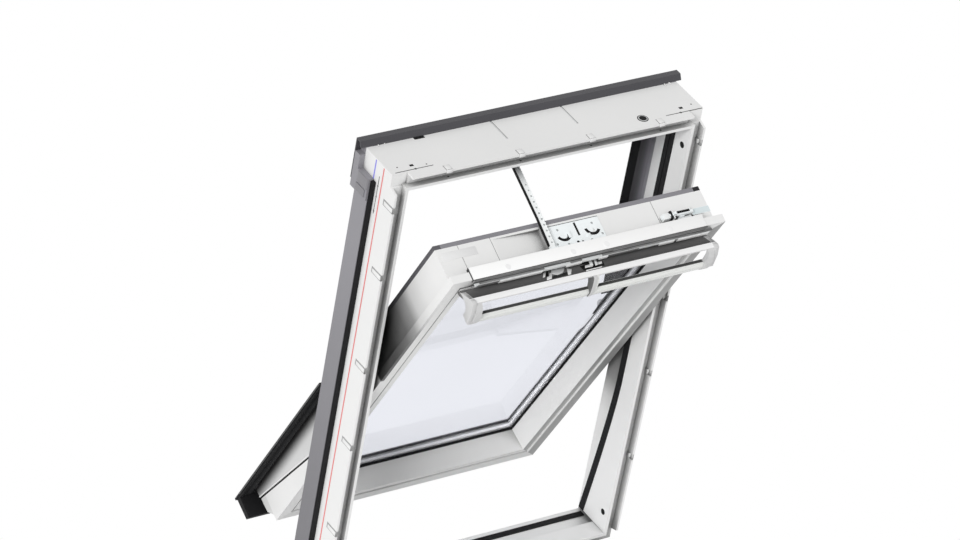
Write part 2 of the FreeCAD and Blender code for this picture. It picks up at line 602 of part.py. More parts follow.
FRONT_GAP = 0.5
FLAP_SEAT = RIDGE_STEP - SEAL_GAP
flap = front([(-43.5, FLAP_SEAT), (-19.6, -32.1), (-20.9, -43.1), (-26.0, -42.6), (-52.0, -5.6),
              (-52.0, FLAP_SEAT)])
sash_parts["vent_flap"] = prism_x(flap, -SASH_HALF + FLAP_INSET, SASH_HALF - FLAP_INSET)
grip_x = SASH_HALF - GRIP_INSET + SEAL_GAP
handle_end = front([(-26.0, -42.9), (-20.9, -43.4), (-24.5, -51.0), (-34.0, -59.0), (-48.0, -64.5),
                    (-62.0, -66.0), (-75.0, -64.0), (-87.0, -58.0), (-85.0, -52.0), (-68.0, -49.5),
                    (-50.0, -48.0), (-36.0, -46.5)])
end_left = prism_x(handle_end, -grip_x - END_THICK, -grip_x)
sash_parts["handle_end_left"] = end_left
sash_parts["handle_end_right"] = mirror(end_left)
GRIP_END = grip_x - SEAL_GAP
grip = front([(-58.2, -47.4), (-58.0, -55.0), (-62.0, -62.0), (-72.0, -62.5), (-82.0, -59.5),
              (-84.0, -54.0)])
BRACKET_HALF = 8.0
bracket = front([(-26.0, -42.9), (-22.0, -43.6), (-32.0, -53.6), (-59.0, -61.0), (-59.0, -56.0),
                 (-38.0, -47.6)])
sash_parts["handle_grip"] = fuse([prism_x(grip, -GRIP_END, GRIP_END),
                                  prism_x(bracket, -BRACKET_HALF, BRACKET_HALF)])
lock_bar = front([(-22.0, -FRONT_GAP), (-22.0, -8.0), (-15.0, -8.0), (-15.0, -FRONT_GAP)])
sash_parts["lock_bar"] = prism_x(lock_bar, -GRIP_END, GRIP_END + 20.0)
case = front([(-33.0, -9.0), (-17.0, -27.5), (-11.0, -27.5), (-11.0, -8.5), (-33.0, -8.5)])
CASES_X = ((-116.0, -58.0), (-21.0, 26.0))
case_link = front([(-19.0, -8.5), (-19.0, -13.0), (-14.0, -13.0), (-14.0, -8.5)])
sash_parts["lock_case"] = fuse([prism_x(case, a, b) for a, b in CASES_X]
                               + [prism_x(case_link, CASES_X[0][0], CASES_X[1][1])])
BRACKET_LENGTH = 12.0
bracket_n1 = STRIP_N1 + SEAL_GAP + 7.0
sash_parts["chain_bracket"] = block(CHAIN_X - 10.0, CHAIN_X + 10.0, BODY_TOP, BODY_TOP + BRACKET_LENGTH,
                                    STRIP_N1 + SEAL_GAP, bracket_n1)

tilt = FreeCAD.Placement(V(0, 0, 0), FreeCAD.Rotation(V(1, 0, 0), OPEN_DEG), p(0, PIVOT_S, PIVOT_N))
for name in list(sash_parts):
    shape = sash_parts[name].copy()
    shape.transformShape(tilt.toMatrix())
    sash_parts[name] = shape

# Opener chain from the frame's top member to its bracket on the open sash
swing = math.radians(OPEN_DEG)


def opened(s, n):
    """Point of the closed sash after it has swung open."""
    a = s - PIVOT_S
    b = n - PIVOT_N
    return (PIVOT_S + a * math.cos(swing) + b * math.sin(swing),
            PIVOT_N - a * math.sin(swing) + b * math.cos(swing))


start = (HEIGHT - REBATE_T + 3.0, CHAIN_EXIT_N)
stop = opened(BODY_TOP + BRACKET_LENGTH / 2.0 + 1.0, bracket_n1 + SEAL_GAP)
span = math.hypot(stop[0] - start[0], stop[1] - start[1])
normal = (-(stop[1] - start[1]) / span, (stop[0] - start[0]) / span)
CHAIN_STEPS = 10
line = []
for i in range(CHAIN_STEPS + 1):
    k = i / CHAIN_STEPS
    bow = 4.0 * CHAIN_BOW * k * (1.0 - k)
    line.append((start[0] + (stop[0] - start[0]) * k + bow * normal[0],
                 start[1] + (stop[1] - start[1]) * k + bow * normal[1]))
half = CHAIN_THICK / 2.0
over = [(s + half * normal[0], n + half * normal[1]) for s, n in line]
under = [(s - half * normal[0], n - half * normal[1]) for s, n in reversed(line)]
chain = prism_x(over + under, CHAIN_X - CHAIN_WIDTH / 2.0, CHAIN_X + CHAIN_WIDTH / 2.0)
frame_parts["chain"] = chain.common(block(-HW, HW, 0.0, HEIGHT - REBATE_T - SEAL_GAP, -HEIGHT, HEIGHT))

# Lean the window, with the mount point on the lower face as origin
world = FreeCAD.Placement(V(0, 0, 0), FreeCAD.Rotation(V(1, 0, 0), 180.0 - PITCH_DEG))
shift = FreeCAD.Placement(p(0, 0, SEAT_N) * -1.0, FreeCAD.Rotation())
world_matrix = world.multiply(shift).toMatrix()

os.makedirs("parts", exist_ok=True)
for group in (frame_parts, sash_parts):
    for name in sorted(group):
        shape = group[name].copy()
        shape.transformShape(world_matrix)
        solid = one_solid(shape)
        if not solid.isValid():
            raise ValueError(name)
        solid.exportStep("parts/%s.step" % name)
        box = solid.BoundBox
        print("%-20s %8.0f cm3  x %6.1f %6.1f  y %6.1f %6.1f  z %6.1f %6.1f" % (
            name, solid.Volume / 1000.0, box.XMin, box.XMax, box.YMin, box.YMax, box.ZMin, box.ZMax))
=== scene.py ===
import json
import math

import bmesh
import bpy
from mathutils import Matrix, Vector


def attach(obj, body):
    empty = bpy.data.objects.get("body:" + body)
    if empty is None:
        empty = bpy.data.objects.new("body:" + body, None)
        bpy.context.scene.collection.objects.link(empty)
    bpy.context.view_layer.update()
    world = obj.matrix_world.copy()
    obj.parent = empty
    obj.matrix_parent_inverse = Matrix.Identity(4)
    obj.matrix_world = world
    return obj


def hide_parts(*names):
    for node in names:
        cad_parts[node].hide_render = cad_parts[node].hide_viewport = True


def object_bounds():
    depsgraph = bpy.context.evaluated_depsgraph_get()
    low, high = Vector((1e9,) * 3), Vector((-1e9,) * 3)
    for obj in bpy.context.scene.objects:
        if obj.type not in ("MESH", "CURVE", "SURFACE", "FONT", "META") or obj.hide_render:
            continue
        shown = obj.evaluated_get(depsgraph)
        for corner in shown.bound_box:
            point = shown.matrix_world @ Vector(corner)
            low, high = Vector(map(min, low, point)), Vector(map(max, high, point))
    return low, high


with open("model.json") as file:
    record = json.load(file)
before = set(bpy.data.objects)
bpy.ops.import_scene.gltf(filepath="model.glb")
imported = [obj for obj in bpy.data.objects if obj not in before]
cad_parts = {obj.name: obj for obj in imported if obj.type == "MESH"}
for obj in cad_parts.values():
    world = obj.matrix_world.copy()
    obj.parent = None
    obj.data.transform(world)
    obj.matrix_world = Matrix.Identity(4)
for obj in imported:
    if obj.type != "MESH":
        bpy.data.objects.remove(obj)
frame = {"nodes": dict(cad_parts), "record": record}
cad_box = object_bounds()
nodes = frame["nodes"]

# Driving sizes, in millimetres and degrees, as in the part's source
WIDTH = 780.0
HEIGHT = 1178.0
PITCH_DEG = 73.5
OPEN_DEG = 26.0
SEAT_N = 41.0
PIVOT_N = 118.0
HW = WIDTH / 2.0
PIVOT_S = HEIGHT / 2.0
FRAME_T = 34.0
GROOVE_T = 27.0

# Sash sizes, closed
SASH_TOP = 1129.0
BODY_TOP = 1105.4
FLANGE_N = 19.6

# Window coordinates, in millimetres: x across, s up the slope, r towards the room. Depth n is -r,
# outward from the room face.
MM = Matrix.Scale(0.001, 4)
LEAN = Matrix.Rotation(math.radians(180.0 - PITCH_DEG), 4, "X")
ON_FRAME = LEAN @ MM @ Matrix.Translation((0.0, 0.0, SEAT_N))
PIVOT = Vector((0.0, PIVOT_S, -PIVOT_N))
SWING = Matrix.Rotation(math.radians(OPEN_DEG), 4, "X")
ON_SASH = ON_FRAME @ Matrix.Translation(PIVOT) @ SWING @ Matrix.Translation(-PIVOT)
AXIS_X = 0
AXIS_S = 1
AXIS_R = 2
BOTH_SIDES = (-1, 1)
SIDES = (("left", -1), ("right", 1))

# Camera: the photo's own angle and lens
CAMERA_POS = Vector((-5.25846, -8.26022, 4.47571))
CAMERA_AZ = math.radians(-32.8)
CAMERA_EL = math.radians(21.05)
CAMERA_LENS = 180.16
SENSOR_WIDTH = 36.0
CAMERA_REACH = 100.0


def add_camera():
    data = bpy.data.cameras.new("camera")
    data.lens = CAMERA_LENS
    data.sensor_width = SENSOR_WIDTH
    data.clip_end = CAMERA_REACH
    camera = bpy.data.objects.new("camera", data)
    back = Vector((math.sin(CAMERA_AZ) * math.cos(CAMERA_EL), -math.cos(CAMERA_AZ) * math.cos(CAMERA_EL),
                   math.sin(CAMERA_EL)))
    camera.rotation_euler = back.to_track_quat("Z", "Y").to_euler()
    camera.location = CAMERA_POS
    bpy.context.scene.collection.objects.link(camera)
    bpy.context.scene.camera = camera


# Node helpers
def node(tree, kind, **values):
    made = tree.nodes.new(kind)
    for key, value in values.items():
        setattr(made, key, value)
    return made


def start_material(name):
    mat = bpy.data.materials.new(name)
    mat.use_nodes = True
    tree = mat.node_tree
    shader = tree.nodes["Principled BSDF"]
    return mat, tree, shader


def object_coords(tree, scale=(1.0, 1.0, 1.0)):
    coords = node(tree, "ShaderNodeTexCoord")
    mapping = node(tree, "ShaderNodeMapping")
    mapping.inputs["Scale"].default_value = scale
    tree.links.new(coords.outputs["Object"], mapping.inputs["Vector"])
    return mapping.outputs["Vector"]


def noise(tree, vector, scale, detail):
    tex = node(tree, "ShaderNodeTexNoise")
    tex.inputs["Scale"].default_value = scale
    tex.inputs["Detail"].default_value = detail
    tree.links.new(vector, tex.inputs["Vector"])
    return tex.outputs["Fac"]


def ramp(tree, fac, stops):
    made = node(tree, "ShaderNodeValToRGB")
    tree.links.new(fac, made.inputs["Fac"])
    elements = made.color_ramp.elements
    elements[0].position, elements[0].color = stops[0]
    elements[1].position, elements[1].color = stops[-1]
    for position, color in stops[1:-1]:
        elements.new(position).color = color
    return made.outputs["Color"]


def clouded(tree, fac, low, high):
    """Faint clouds between two colours, from the middle range of a noise."""
    return ramp(tree, fac, [(0.3, low), (0.7, high)])


def span(tree, fac, low, high):
    made = node(tree, "ShaderNodeMapRange")
    made.inputs["To Min"].default_value = low
    made.inputs["To Max"].default_value = high
    tree.links.new(fac, made.inputs["Value"])
    return made.outputs["Result"]


def ease(tree, value, start, end, low=0.0, high=1.0, kind="SMOOTHSTEP"):
    """Change of a value from low to high between two distances, smooth or linear."""
    made = node(tree, "ShaderNodeMapRange", interpolation_type=kind)
    made.inputs["From Min"].default_value = start
    made.inputs["From Max"].default_value = end
    made.inputs["To Min"].default_value = low
    made.inputs["To Max"].default_value = high
    tree.links.new(value, made.inputs["Value"])
    return made.outputs["Result"]


def across(tree, place, axis):
    """Distance along one of the window's own axes, in millimetres."""
    row = place.inverted()[axis]
    coords = node(tree, "ShaderNodeTexCoord")
    dot = node(tree, "ShaderNodeVectorMath", operation="DOT_PRODUCT")
    dot.inputs[1].default_value = (row[0], row[1], row[2])
    tree.links.new(coords.outputs["Object"], dot.inputs[0])
    add = node(tree, "ShaderNodeMath", operation="ADD")
    add.inputs[1].default_value = row[3]
    tree.links.new(dot.outputs["Value"], add.inputs[0])
    return add.outputs[0]


def mixed(tree, fac, first, second, mode="MIX"):
    made = node(tree, "ShaderNodeMix", data_type="RGBA", blend_type=mode)
    for socket, value in ((made.inputs[0], fac), (made.inputs[6], first), (made.inputs[7], second)):
        if isinstance(value, bpy.types.NodeSocket):
            tree.links.new(value, socket)
        else:
            socket.default_value = value
    return made.outputs[2]


def bump(tree, shader, height, strength, distance):
    made = node(tree, "ShaderNodeBump")
    made.inputs["Strength"].default_value = strength
    made.inputs["Distance"].default_value = distance
    tree.links.new(height, made.inputs["Height"])
    tree.links.new(made.outputs["Normal"], shader.inputs["Normal"])


def shade(color, factor):
    return (color[0] * factor, color[1] * factor, color[2] * factor, 1.0)


def grey(level):
    return (level, level, level, 1.0)


def value_as_grey(tree, value):
    made = node(tree, "ShaderNodeCombineColor")
    for socket in made.inputs[:3]:
        tree.links.new(value, socket)
    return made.outputs[0]


def grey_bands(tree, place, axis, bands):
    """Grey that changes evenly from band to band along one axis, given as rising (distance, grey) pairs."""
    first = bands[0][0]
    last = bands[-1][0]
    share = ease(tree, across(tree, place, axis), first, last, kind="LINEAR")
    return ramp(tree, share, [((at - first) / (last - first), grey(level)) for at, level in bands])


def base_of(mat):
    """The colour that feeds a finish, and its tree and shader."""
    tree = mat.node_tree
    shader = tree.nodes["Principled BSDF"]
    return tree, shader, shader.inputs["Base Color"].links[0].from_socket


def multiply_base(tree, shader, colour, factor):
    tree.links.new(mixed(tree, 1.0, colour, factor, "MULTIPLY"), shader.inputs["Base Color"])


# Finishes
ROUGH_SPREAD = 0.06
GRAIN_STRENGTH = 0.35
BAND_ROUGH = 0.4
CREASE_REACH = 0.09
CREASE_FLOOR = 0.2
OPEN_SHARES = (0.2, 0.7)


def finish_of(name, color, rough, spread=0.04, metal=0.0, grain=900.0, grain_depth=0.00002, mottle=6.0,
              stretch=(1.0, 1.0, 1.0), specular=0.5):
    """Solid finish with faint mottling in colour and roughness and a fine surface grain."""
    mat, tree, shader = start_material(name)
    shader.inputs["Metallic"].default_value = metal
    shader.inputs["Specular IOR Level"].default_value = specular
    vector = object_coords(tree, stretch)
    cloud = noise(tree, vector, scale=mottle, detail=4.0)
    tree.links.new(clouded(tree, cloud, shade(color, 1.0 - spread), shade(color, 1.0 + spread)),
                   shader.inputs["Base Color"])
    fine = noise(tree, vector, scale=grain, detail=2.0)
    tree.links.new(span(tree, fine, rough - ROUGH_SPREAD, rough + ROUGH_SPREAD), shader.inputs["Roughness"])
    bump(tree, shader, fine, GRAIN_STRENGTH, grain_depth)
    return mat


def white_of(name, color):
    return finish_of(name, color, 0.34, spread=0.012, grain=700.0, grain_depth=0.00001)


def graded(mat, name, place, axis, start, end, low, high):
    """Copy of a finish whose colour is scaled by a smooth change along one axis."""
    made = mat.copy()
    made.name = name
    tree, shader, colour = base_of(made)
    scale = ease(tree, across(tree, place, axis), start, end, low, high)
    multiply_base(tree, shader, colour, value_as_grey(tree, scale))
    return made


def shaded_along(mat, name, place, axis, bands, limit):
    """Copy of a finish with a soft cast shade along one axis, only past a limit (axis, start, full)."""
    made = mat.copy()
    made.name = name
    tree, shader, colour = base_of(made)
    shadow = grey_bands(tree, place, axis, bands)
    limit_axis, start, full = limit
    within = ease(tree, across(tree, place, limit_axis), start, full)
    multiply_base(tree, shader, colour, mixed(tree, within, grey(1.0), shadow))
    return made


def shaded_creases(mat):
    """Painted shade: darkens a finish in its own corners and grooves, where little open space lies near."""
    tree, shader, colour = base_of(mat)
    near = node(tree, "ShaderNodeAmbientOcclusion")
    near.inputs["Distance"].default_value = CREASE_REACH
    near.samples = 8
    depth = ease(tree, near.outputs["AO"], *OPEN_SHARES, low=CREASE_FLOOR)
    multiply_base(tree, shader, colour, value_as_grey(tree, depth))


def banded(name, place, axis, bands):
    """Finish whose colour changes by steps along one axis."""
    mat, tree, shader = start_material(name)
    shader.inputs["Roughness"].default_value = BAND_ROUGH
    cloud = clouded(tree, noise(tree, object_coords(tree), scale=60.0, detail=3.0), grey(0.94), grey(1.0))
    multiply_base(tree, shader, grey_bands(tree, place, axis, bands), cloud)
    return mat


def lets_light_through(tree, shader, share):
    """Glass that throws only a faint shadow."""
    clear = node(tree, "ShaderNodeBsdfTransparent")
    clear.inputs["Color"].default_value = grey(share)
    paths = node(tree, "ShaderNodeLightPath")
    mix = node(tree, "ShaderNodeMixShader")
    tree.links.new(paths.outputs["Is Shadow Ray"], mix.inputs[0])
    tree.links.new(shader.outputs[0], mix.inputs[1])
    tree.links.new(clear.outputs[0], mix.inputs[2])
    tree.links.new(mix.outputs[0], tree.nodes["Material Output"].inputs["Surface"])


def glass_finish(name, bend, tint):
    """Clear glass of a given refraction, with a faint cloud in its tint."""
    mat, tree, shader = start_material(name)
    shader.inputs["Transmission Weight"].default_value = 1.0
    shader.inputs["IOR"].default_value = bend
    shader.inputs["Roughness"].default_value = 0.0
    cloud = noise(tree, object_coords(tree), scale=1.5, detail=2.0)
    tree.links.new(clouded(tree, cloud, shade(tint, 0.99), shade(tint, 1.0)), shader.inputs["Base Color"])
    lets_light_through(tree, shader, 0.95)
    return mat


# White mouldings, with the soft shades that the photo shows on three of them
WHITE = (0.85, 0.85, 0.845)
FACE_SHADE = ((290.0, 1.0), (295.0, 1.0), (296.5, 0.40), (299.0, 0.30), (309.0, 0.42), (311.0, 1.0),
              (315.5, 1.0), (318.0, 0.42), (322.0, 0.30), (342.0, 0.36))
JAMB_SHADE = ((300.0, 1.0), (350.0, 0.80), (400.0, 0.36), (470.0, 0.26), (600.0, 0.26), (680.0, 1.0))
SIDE_SHADE = ((700.0, 1.0), (705.0, 0.05), (790.0, 0.05), (835.0, 0.10), (870.0, 0.15), (915.0, 0.34),
              (945.0, 0.70), (1000.0, 0.92), (1060.0, 1.0))
white = white_of("white_moulding", WHITE)
shaded_creases(white)
bare_white = white_of("white_reveal", WHITE)
# Painted shade: a darker copy of the white moulding, for the sash's bottom rail.
shaded_low_white = white_of("white_low_rail_painted_shade", (0.74, 0.74, 0.735))
shaded_creases(shaded_low_white)
strip_white = finish_of("strip_white", (0.96, 0.96, 0.955), 0.3, spread=0.01, grain_depth=0.00001)
# Painted shadows: down the left stile towards where it passes the frame, in bands across the right stile's
# front, and along the right jamb where the sash crosses it.
shaded_left = shaded_along(white, "white_left_stile", ON_SASH, AXIS_S, SIDE_SHADE,
                           limit=(AXIS_X, -332.6, -334.0))
shaded_right = shaded_along(bare_white, "white_right_stile", ON_SASH, AXIS_X, FACE_SHADE,
                            limit=(AXIS_R, -24.0, -22.5))
frame_right_shaded = shaded_along(white, "white_right_jamb", ON_FRAME, AXIS_S, JAMB_SHADE,
                                limit=(AXIS_R, -44.0, -47.0))

# Grey covers and cladding
COVER_SHADE = ((339.0, 0.17), (350.0, 0.24), (358.0, 0.44), (364.0, 0.72), (369.0, 1.1))
cladding = finish_of("grey_cladding", (0.085, 0.083, 0.092), 0.42, spread=0.06, metal=0.2, grain=1500.0)
# Painted light: a paler copy of the grey cladding, used on the top cladding only.
cladding_painted_light = finish_of("cladding_painted_light", (0.24, 0.235, 0.255), 0.42, spread=0.05, metal=0.15, grain=1500.0)
hood_coat = finish_of("hood_paint", (0.056, 0.055, 0.062), 0.42, spread=0.06, metal=0.2, grain=1500.0)
# Painted shade: the left edge strip darkens down the slope, towards where it passes the frame.
edge_painted_shade = graded(cladding, "edge_strip_painted_shade", ON_SASH, AXIS_S, start=800.0, end=1080.0, low=0.2, high=1.15)
# Painted reflection: the right edge strip is near black, for the dark reflection along the glass edge there.
edge_painted_reflection = finish_of("edge_painted_reflection", (0.014, 0.014, 0.016), 0.6, spread=0.1, specular=0.25)
cover_coat = finish_of("side_cover_coat", (0.255, 0.25, 0.27), 0.45, spread=0.03, metal=0.15, grain=1500.0)
# Painted shade: the side and corner covers darken towards the bottom of the slope.
side_cover = graded(cover_coat, "side_cover_painted_shade", ON_FRAME, AXIS_S, start=0.0, end=HEIGHT, low=0.70,
                    high=1.12)
# Painted shade across the right cover's room-facing flange, darkest at its inner edge.
right_cover = shaded_along(side_cover, "right_cover_painted_shade", ON_FRAME, AXIS_X, COVER_SHADE,
                           limit=(AXIS_R, -100.0, -108.0))
latch_grey = finish_of("latch_grey", (0.24, 0.235, 0.25), 0.45, spread=0.04, metal=0.15)
leaf_metal = finish_of("leaf_metal", (0.70, 0.70, 0.70), 0.4, spread=0.02, metal=0.05)
# Painted shade: the leaves darken to near black towards their outer edge.
leaf_shaded = graded(leaf_metal, "leaf_painted_shade", ON_SASH, AXIS_R, start=-112.0, end=-78.0, low=0.06, high=1.0)

# Metal fittings, flap and handle
zinc = finish_of("zinc_steel", (0.93, 0.97, 0.98), 0.3, spread=0.02, mottle=40.0, grain=600.0)
bright_zinc = finish_of("bright_zinc", (0.86, 0.88, 0.88), 0.3, spread=0.03, metal=0.1, grain=600.0)
blue_zinc = finish_of("blue_zinc", (0.72, 0.80, 0.82), 0.3, spread=0.02, metal=0.1, grain=600.0)
screw_grey = finish_of("screw_grey", (0.38, 0.40, 0.40), 0.35, spread=0.1, metal=0.3)
# Painted shade: the chain darkens towards its top end, where the frame shades it.
chain_painted_shade = graded(bright_zinc, "chain_painted_shade", ON_FRAME, AXIS_R, start=-15.0, end=50.0, low=0.14, high=1.05)
flap_coat = finish_of("flap_coat", (0.10, 0.099, 0.099), 0.55, spread=0.06, grain=1200.0, specular=0.3)
# Painted light: the flap is painted brighter towards its back, to make up for the shade that falls there.
flap_painted_light = graded(flap_coat, "dark_flap", ON_SASH, AXIS_R, start=-19.0, end=12.0, low=1.9, high=0.95)
strip_shade = finish_of("strip_shade", (0.20, 0.20, 0.20), 0.5, spread=0.35, mottle=160.0,
                        stretch=(0.1, 1.0, 1.0))
rod_grey = finish_of("rod_grey", (0.22, 0.22, 0.22), 0.4, spread=0.4, mottle=120.0, stretch=(0.15, 1.0, 1.0))
web_grey = finish_of("web_grey", (0.15, 0.15, 0.15), 0.5, spread=0.05)
handle_alu = finish_of("handle_aluminium", (0.78, 0.79, 0.77), 0.28, spread=0.015, metal=0.15,
                       stretch=(0.05, 1.0, 1.0))
handle_plastic = finish_of("handle_plastic", (0.62, 0.62, 0.62), 0.35, spread=0.03)
bright_alu = finish_of("bright_trim", (0.90, 0.90, 0.90), 0.3, spread=0.015)

# Rubber, lines, holes and small parts
rubber = finish_of("black_rubber", (0.008, 0.008, 0.009), 0.72, spread=0.2, grain=1200.0, specular=0.25)
red_ink = finish_of("red_line_ink", (0.78, 0.22, 0.22), 0.5, spread=0.06)
blue_ink = finish_of("blue_line_ink", (0.25, 0.25, 0.80), 0.5, spread=0.06)
shadow_black = finish_of("slot_black", (0.008, 0.008, 0.008), 0.7, spread=0.2, specular=0.2)
slot_grey = finish_of("slot_grey", (0.06, 0.06, 0.06), 0.6, spread=0.2, specular=0.3)
clip_shadow = finish_of("clip_shadow", (0.36, 0.36, 0.36), 0.5, spread=0.1)
plug_white = finish_of("plug_white", (0.89, 0.89, 0.89), 0.3, spread=0.01)
plate_grey = finish_of("plate_print", (0.66, 0.67, 0.67), 0.45, spread=0.02)
label_white = finish_of("label_white", (0.80, 0.80, 0.80), 0.45, spread=0.01)

# Glazing: the spacer is black where it meets the outer pane, then grey, then pale
spacer = banded("spacer", ON_SASH, AXIS_R, [(-92.5, 0.02), (-90.2, 0.02), (-89.6, 0.35), (-87.0, 0.35),
                                            (-86.4, 0.92), (-80.0, 0.92)])
glass = glass_finish("glass", 1.03, (0.925, 0.93, 0.955))
middle_glass = glass_finish("middle_glass", 1.13, (0.98, 0.985, 0.995))

FINISHES = {
    "white_moulding": white, "grey_cladding": cladding, "black_rubber": rubber, "zinc_steel": zinc,
    "spacer": spacer, "dark_flap": flap_painted_light, "handle_aluminium": handle_alu,
    "handle_plastic": handle_plastic, "glass": glass,
}
OWN_FINISH = {
    "side_cover_left": side_cover, "side_cover_right": right_cover, "hood": hood_coat,
    "corner_cover_left": side_cover, "corner_cover_right": side_cover,
    "cladding_top": cladding_painted_light, "cladding_left": leaf_shaded, "cladding_right": leaf_shaded,
    "edge_strip_left": edge_painted_shade, "edge_strip_right": edge_painted_reflection,
    "frame_right": frame_right_shaded, "sash_left": shaded_left, "sash_right": shaded_right,
    "sash_bottom": shaded_low_white, "chain": chain_painted_shade, "lock_bar": bright_zinc,
}
slot_of = {row["node"]: row["material_slot"] for row in frame["record"]["subparts"]}
for name, obj in nodes.items():
    obj.data.materials.clear()
    obj.data.materials.append(OWN_FINISH.get(name, FINISHES[slot_of[name]]))

# Shapes, in window coordinates
DIRECTIONS = {"x": Vector((1, 0, 0)), "s": Vector((0, 1, 0)), "n": Vector((0, 0, -1))}
BEVEL_ANGLE = 0.6
BEVEL_STEPS = 2
SHARP_DEG = 35.0


def block(bm, x0, x1, s0, s1, n0, n1):
    """Box between two distances each way, with the two in x in either order."""
    size = Matrix.Diagonal((abs(x1 - x0), s1 - s0, n1 - n0, 1.0))
    middle = Matrix.Translation(((x0 + x1) / 2.0, (s0 + s1) / 2.0, -(n0 + n1) / 2.0))
    bmesh.ops.create_cube(bm, size=1.0, matrix=middle @ size)


def boxes(bm, base, rows):
    """Boxes that stand on a base height: x from and to, s from and to above the base, n from and to."""
    for x0, x1, low, high, n0, n1 in rows:
        block(bm, x0, x1, base + low, base + high, n0, n1)


def drawn_out(bm, corners, way):
    """Flat face on the corners, drawn out along a way."""
    face = bm.faces.new([bm.verts.new(corner) for corner in corners])
    made = bmesh.ops.extrude_face_region(bm, geom=[face])
    verts = [item for item in made["geom"] if isinstance(item, bmesh.types.BMVert)]
    bmesh.ops.translate(bm, verts=verts, vec=way)


def profile(bm, points, x0, x1):
    """Section of (s, n) points drawn out across from x0 to x1."""
    drawn_out(bm, [(x0, s, -n) for s, n in points], (x1 - x0, 0.0, 0.0))


def spun(bm, face, centre, axis, degrees, steps):
    bmesh.ops.spin(bm, geom=[face] + list(face.edges) + list(face.verts), cent=centre, axis=axis,
                   angle=math.radians(degrees), steps=steps, use_merge=False, use_duplicate=False,
                   dvec=(0.0, 0.0, 0.0))


def disc(bm, centre, axis, radius, depth, far_radius=None, sides=32):
    """Round body about an axis, its near end at the centre point (x, s, n)."""
    x, s, n = centre
    direction = DIRECTIONS[axis]
    turn = direction.to_track_quat("Z", "Y").to_matrix().to_4x4()
    place = Matrix.Translation(Vector((x, s, -n)) + direction * depth / 2.0) @ turn
    end_radius = radius if far_radius is None else far_radius
    bmesh.ops.create_cone(bm, cap_ends=True, segments=sides, radius1=radius, radius2=end_radius,
                          depth=abs(depth), matrix=place)


def piece(name, place, finish, build, bevel=0.0):
    """New piece from a build function, with rounded edges, placed on the frame or the sash."""
    bm = bmesh.new()
    build(bm)
    bmesh.ops.recalc_face_normals(bm, faces=bm.faces)
    if bevel:
        edges = [e for e in bm.edges if e.is_manifold and e.calc_face_angle() > BEVEL_ANGLE]
        bmesh.ops.bevel(bm, geom=edges, offset=bevel, offset_type="OFFSET", affect="EDGES",
                        segments=BEVEL_STEPS, profile=0.5, material=-1, clamp_overlap=True)
    bmesh.ops.transform(bm, matrix=place, verts=bm.verts)
    mesh = bpy.data.meshes.new(name)
    bm.to_mesh(mesh)
    bm.free()
    for polygon in mesh.polygons:
        polygon.use_smooth = True
    mesh.set_sharp_from_angle(angle=math.radians(SHARP_DEG))
    obj = bpy.data.objects.new(name, mesh)
    bpy.context.scene.collection.objects.link(obj)
    mesh.materials.append(finish)
    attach(obj, "root")
    return obj


def sash_front(points):
    """Points given up from the flange's top and out from its face."""
    return [(SASH_TOP + a, FLANGE_N + b) for a, b in points]


# Lines, slots and holes are flat blocks: they start this far under a face and stand this little proud of it
SINK = 0.3
LINE_PROUD = 0.15
SLOT_PROUD = 0.12
HOLE_PROUD = 0.14

# Left side face: coloured lines, each with its ends in s and its first n, and the slot with its nicks
SIDE_LINES = (("red_line", red_ink, 2.0, 1174.0, 29.0), ("blue_line", blue_ink, 1122.0, 1175.0, 61.0))
LINE_WIDTH = 4.0
SLOT_S0 = 1053.0
SLOT_S1 = 1146.0
SLOT_N = 42.9
SLOT_HALF = 1.0
SLOT_NICKS_S = (1060.0, 1096.0, 1122.0)
NICK_HALF_S = 1.6
NICK_HALF_N = 2.0

for name, ink, s0, s1, n in SIDE_LINES:
    piece(name, ON_FRAME, ink,
          lambda bm: block(bm, -HW - LINE_PROUD, -HW + SINK, s0, s1, n, n + LINE_WIDTH))


def side_slot(bm):
    block(bm, -HW - SLOT_PROUD, -HW + SINK, SLOT_S0, SLOT_S1, SLOT_N - SLOT_HALF, SLOT_N + SLOT_HALF)
    for s in SLOT_NICKS_S:
        block(bm, -HW - SLOT_PROUD, -HW + SINK, s - NICK_HALF_S, s + NICK_HALF_S, SLOT_N - NICK_HALF_N,
              SLOT_N + NICK_HALF_N)


piece("side_slot", ON_FRAME, slot_grey, side_slot)

# Spring clips on the outer lips, with their holes in the groove's inner wall. A clip's parts are given
# as reach from and to outside the lip's face, half length, and depth from and to.
CLIP_SHARES = (0.21, 0.41, 0.585, 0.79, 0.935)
TOP_CLIP_X = (-264.0, -85.0, 92.0, 270.0)
SIDE_CLIP_PARTS = ((1.6, -0.5, 4.8, -21.0, 11.0), (0.9, -7.4, 6.0, -13.2, -11.8),
                   (-6.0, -7.4, 5.0, -13.2, -5.0))
TOP_CLIP_PARTS = ((-0.5, 1.8, 6.0, -22.0, -7.0), (-6.6, 1.3, 7.0, -24.6, -22.8),
                  (-6.6, -5.2, 6.0, -24.2, -8.0))
# Painted shadow: a grey plate a little larger than each clip, as a rim of shade round it; its half length and
# depth from and to.
SEAT_HALF = 7.6
SIDE_SEAT_N = (-22.0, 15.5)
TOP_SEAT_N = (-22.6, -5.0)
CLIP_HOLE_N = -11.0
SIDE_HOLE_SHIFT = 9.0
TOP_HOLE_SHIFT = 8.0
CLIP_BEVEL = 0.45


def on_top_face(bm, x0, x1, n0, n1, proud):
    block(bm, x0, x1, HEIGHT - SINK, HEIGHT + proud, n0, n1)


def side_clip(bm, side, s):
    for start, end, half, n0, n1 in SIDE_CLIP_PARTS:
        block(bm, side * (HW + start), side * (HW + end), s - half, s + half, n0, n1)


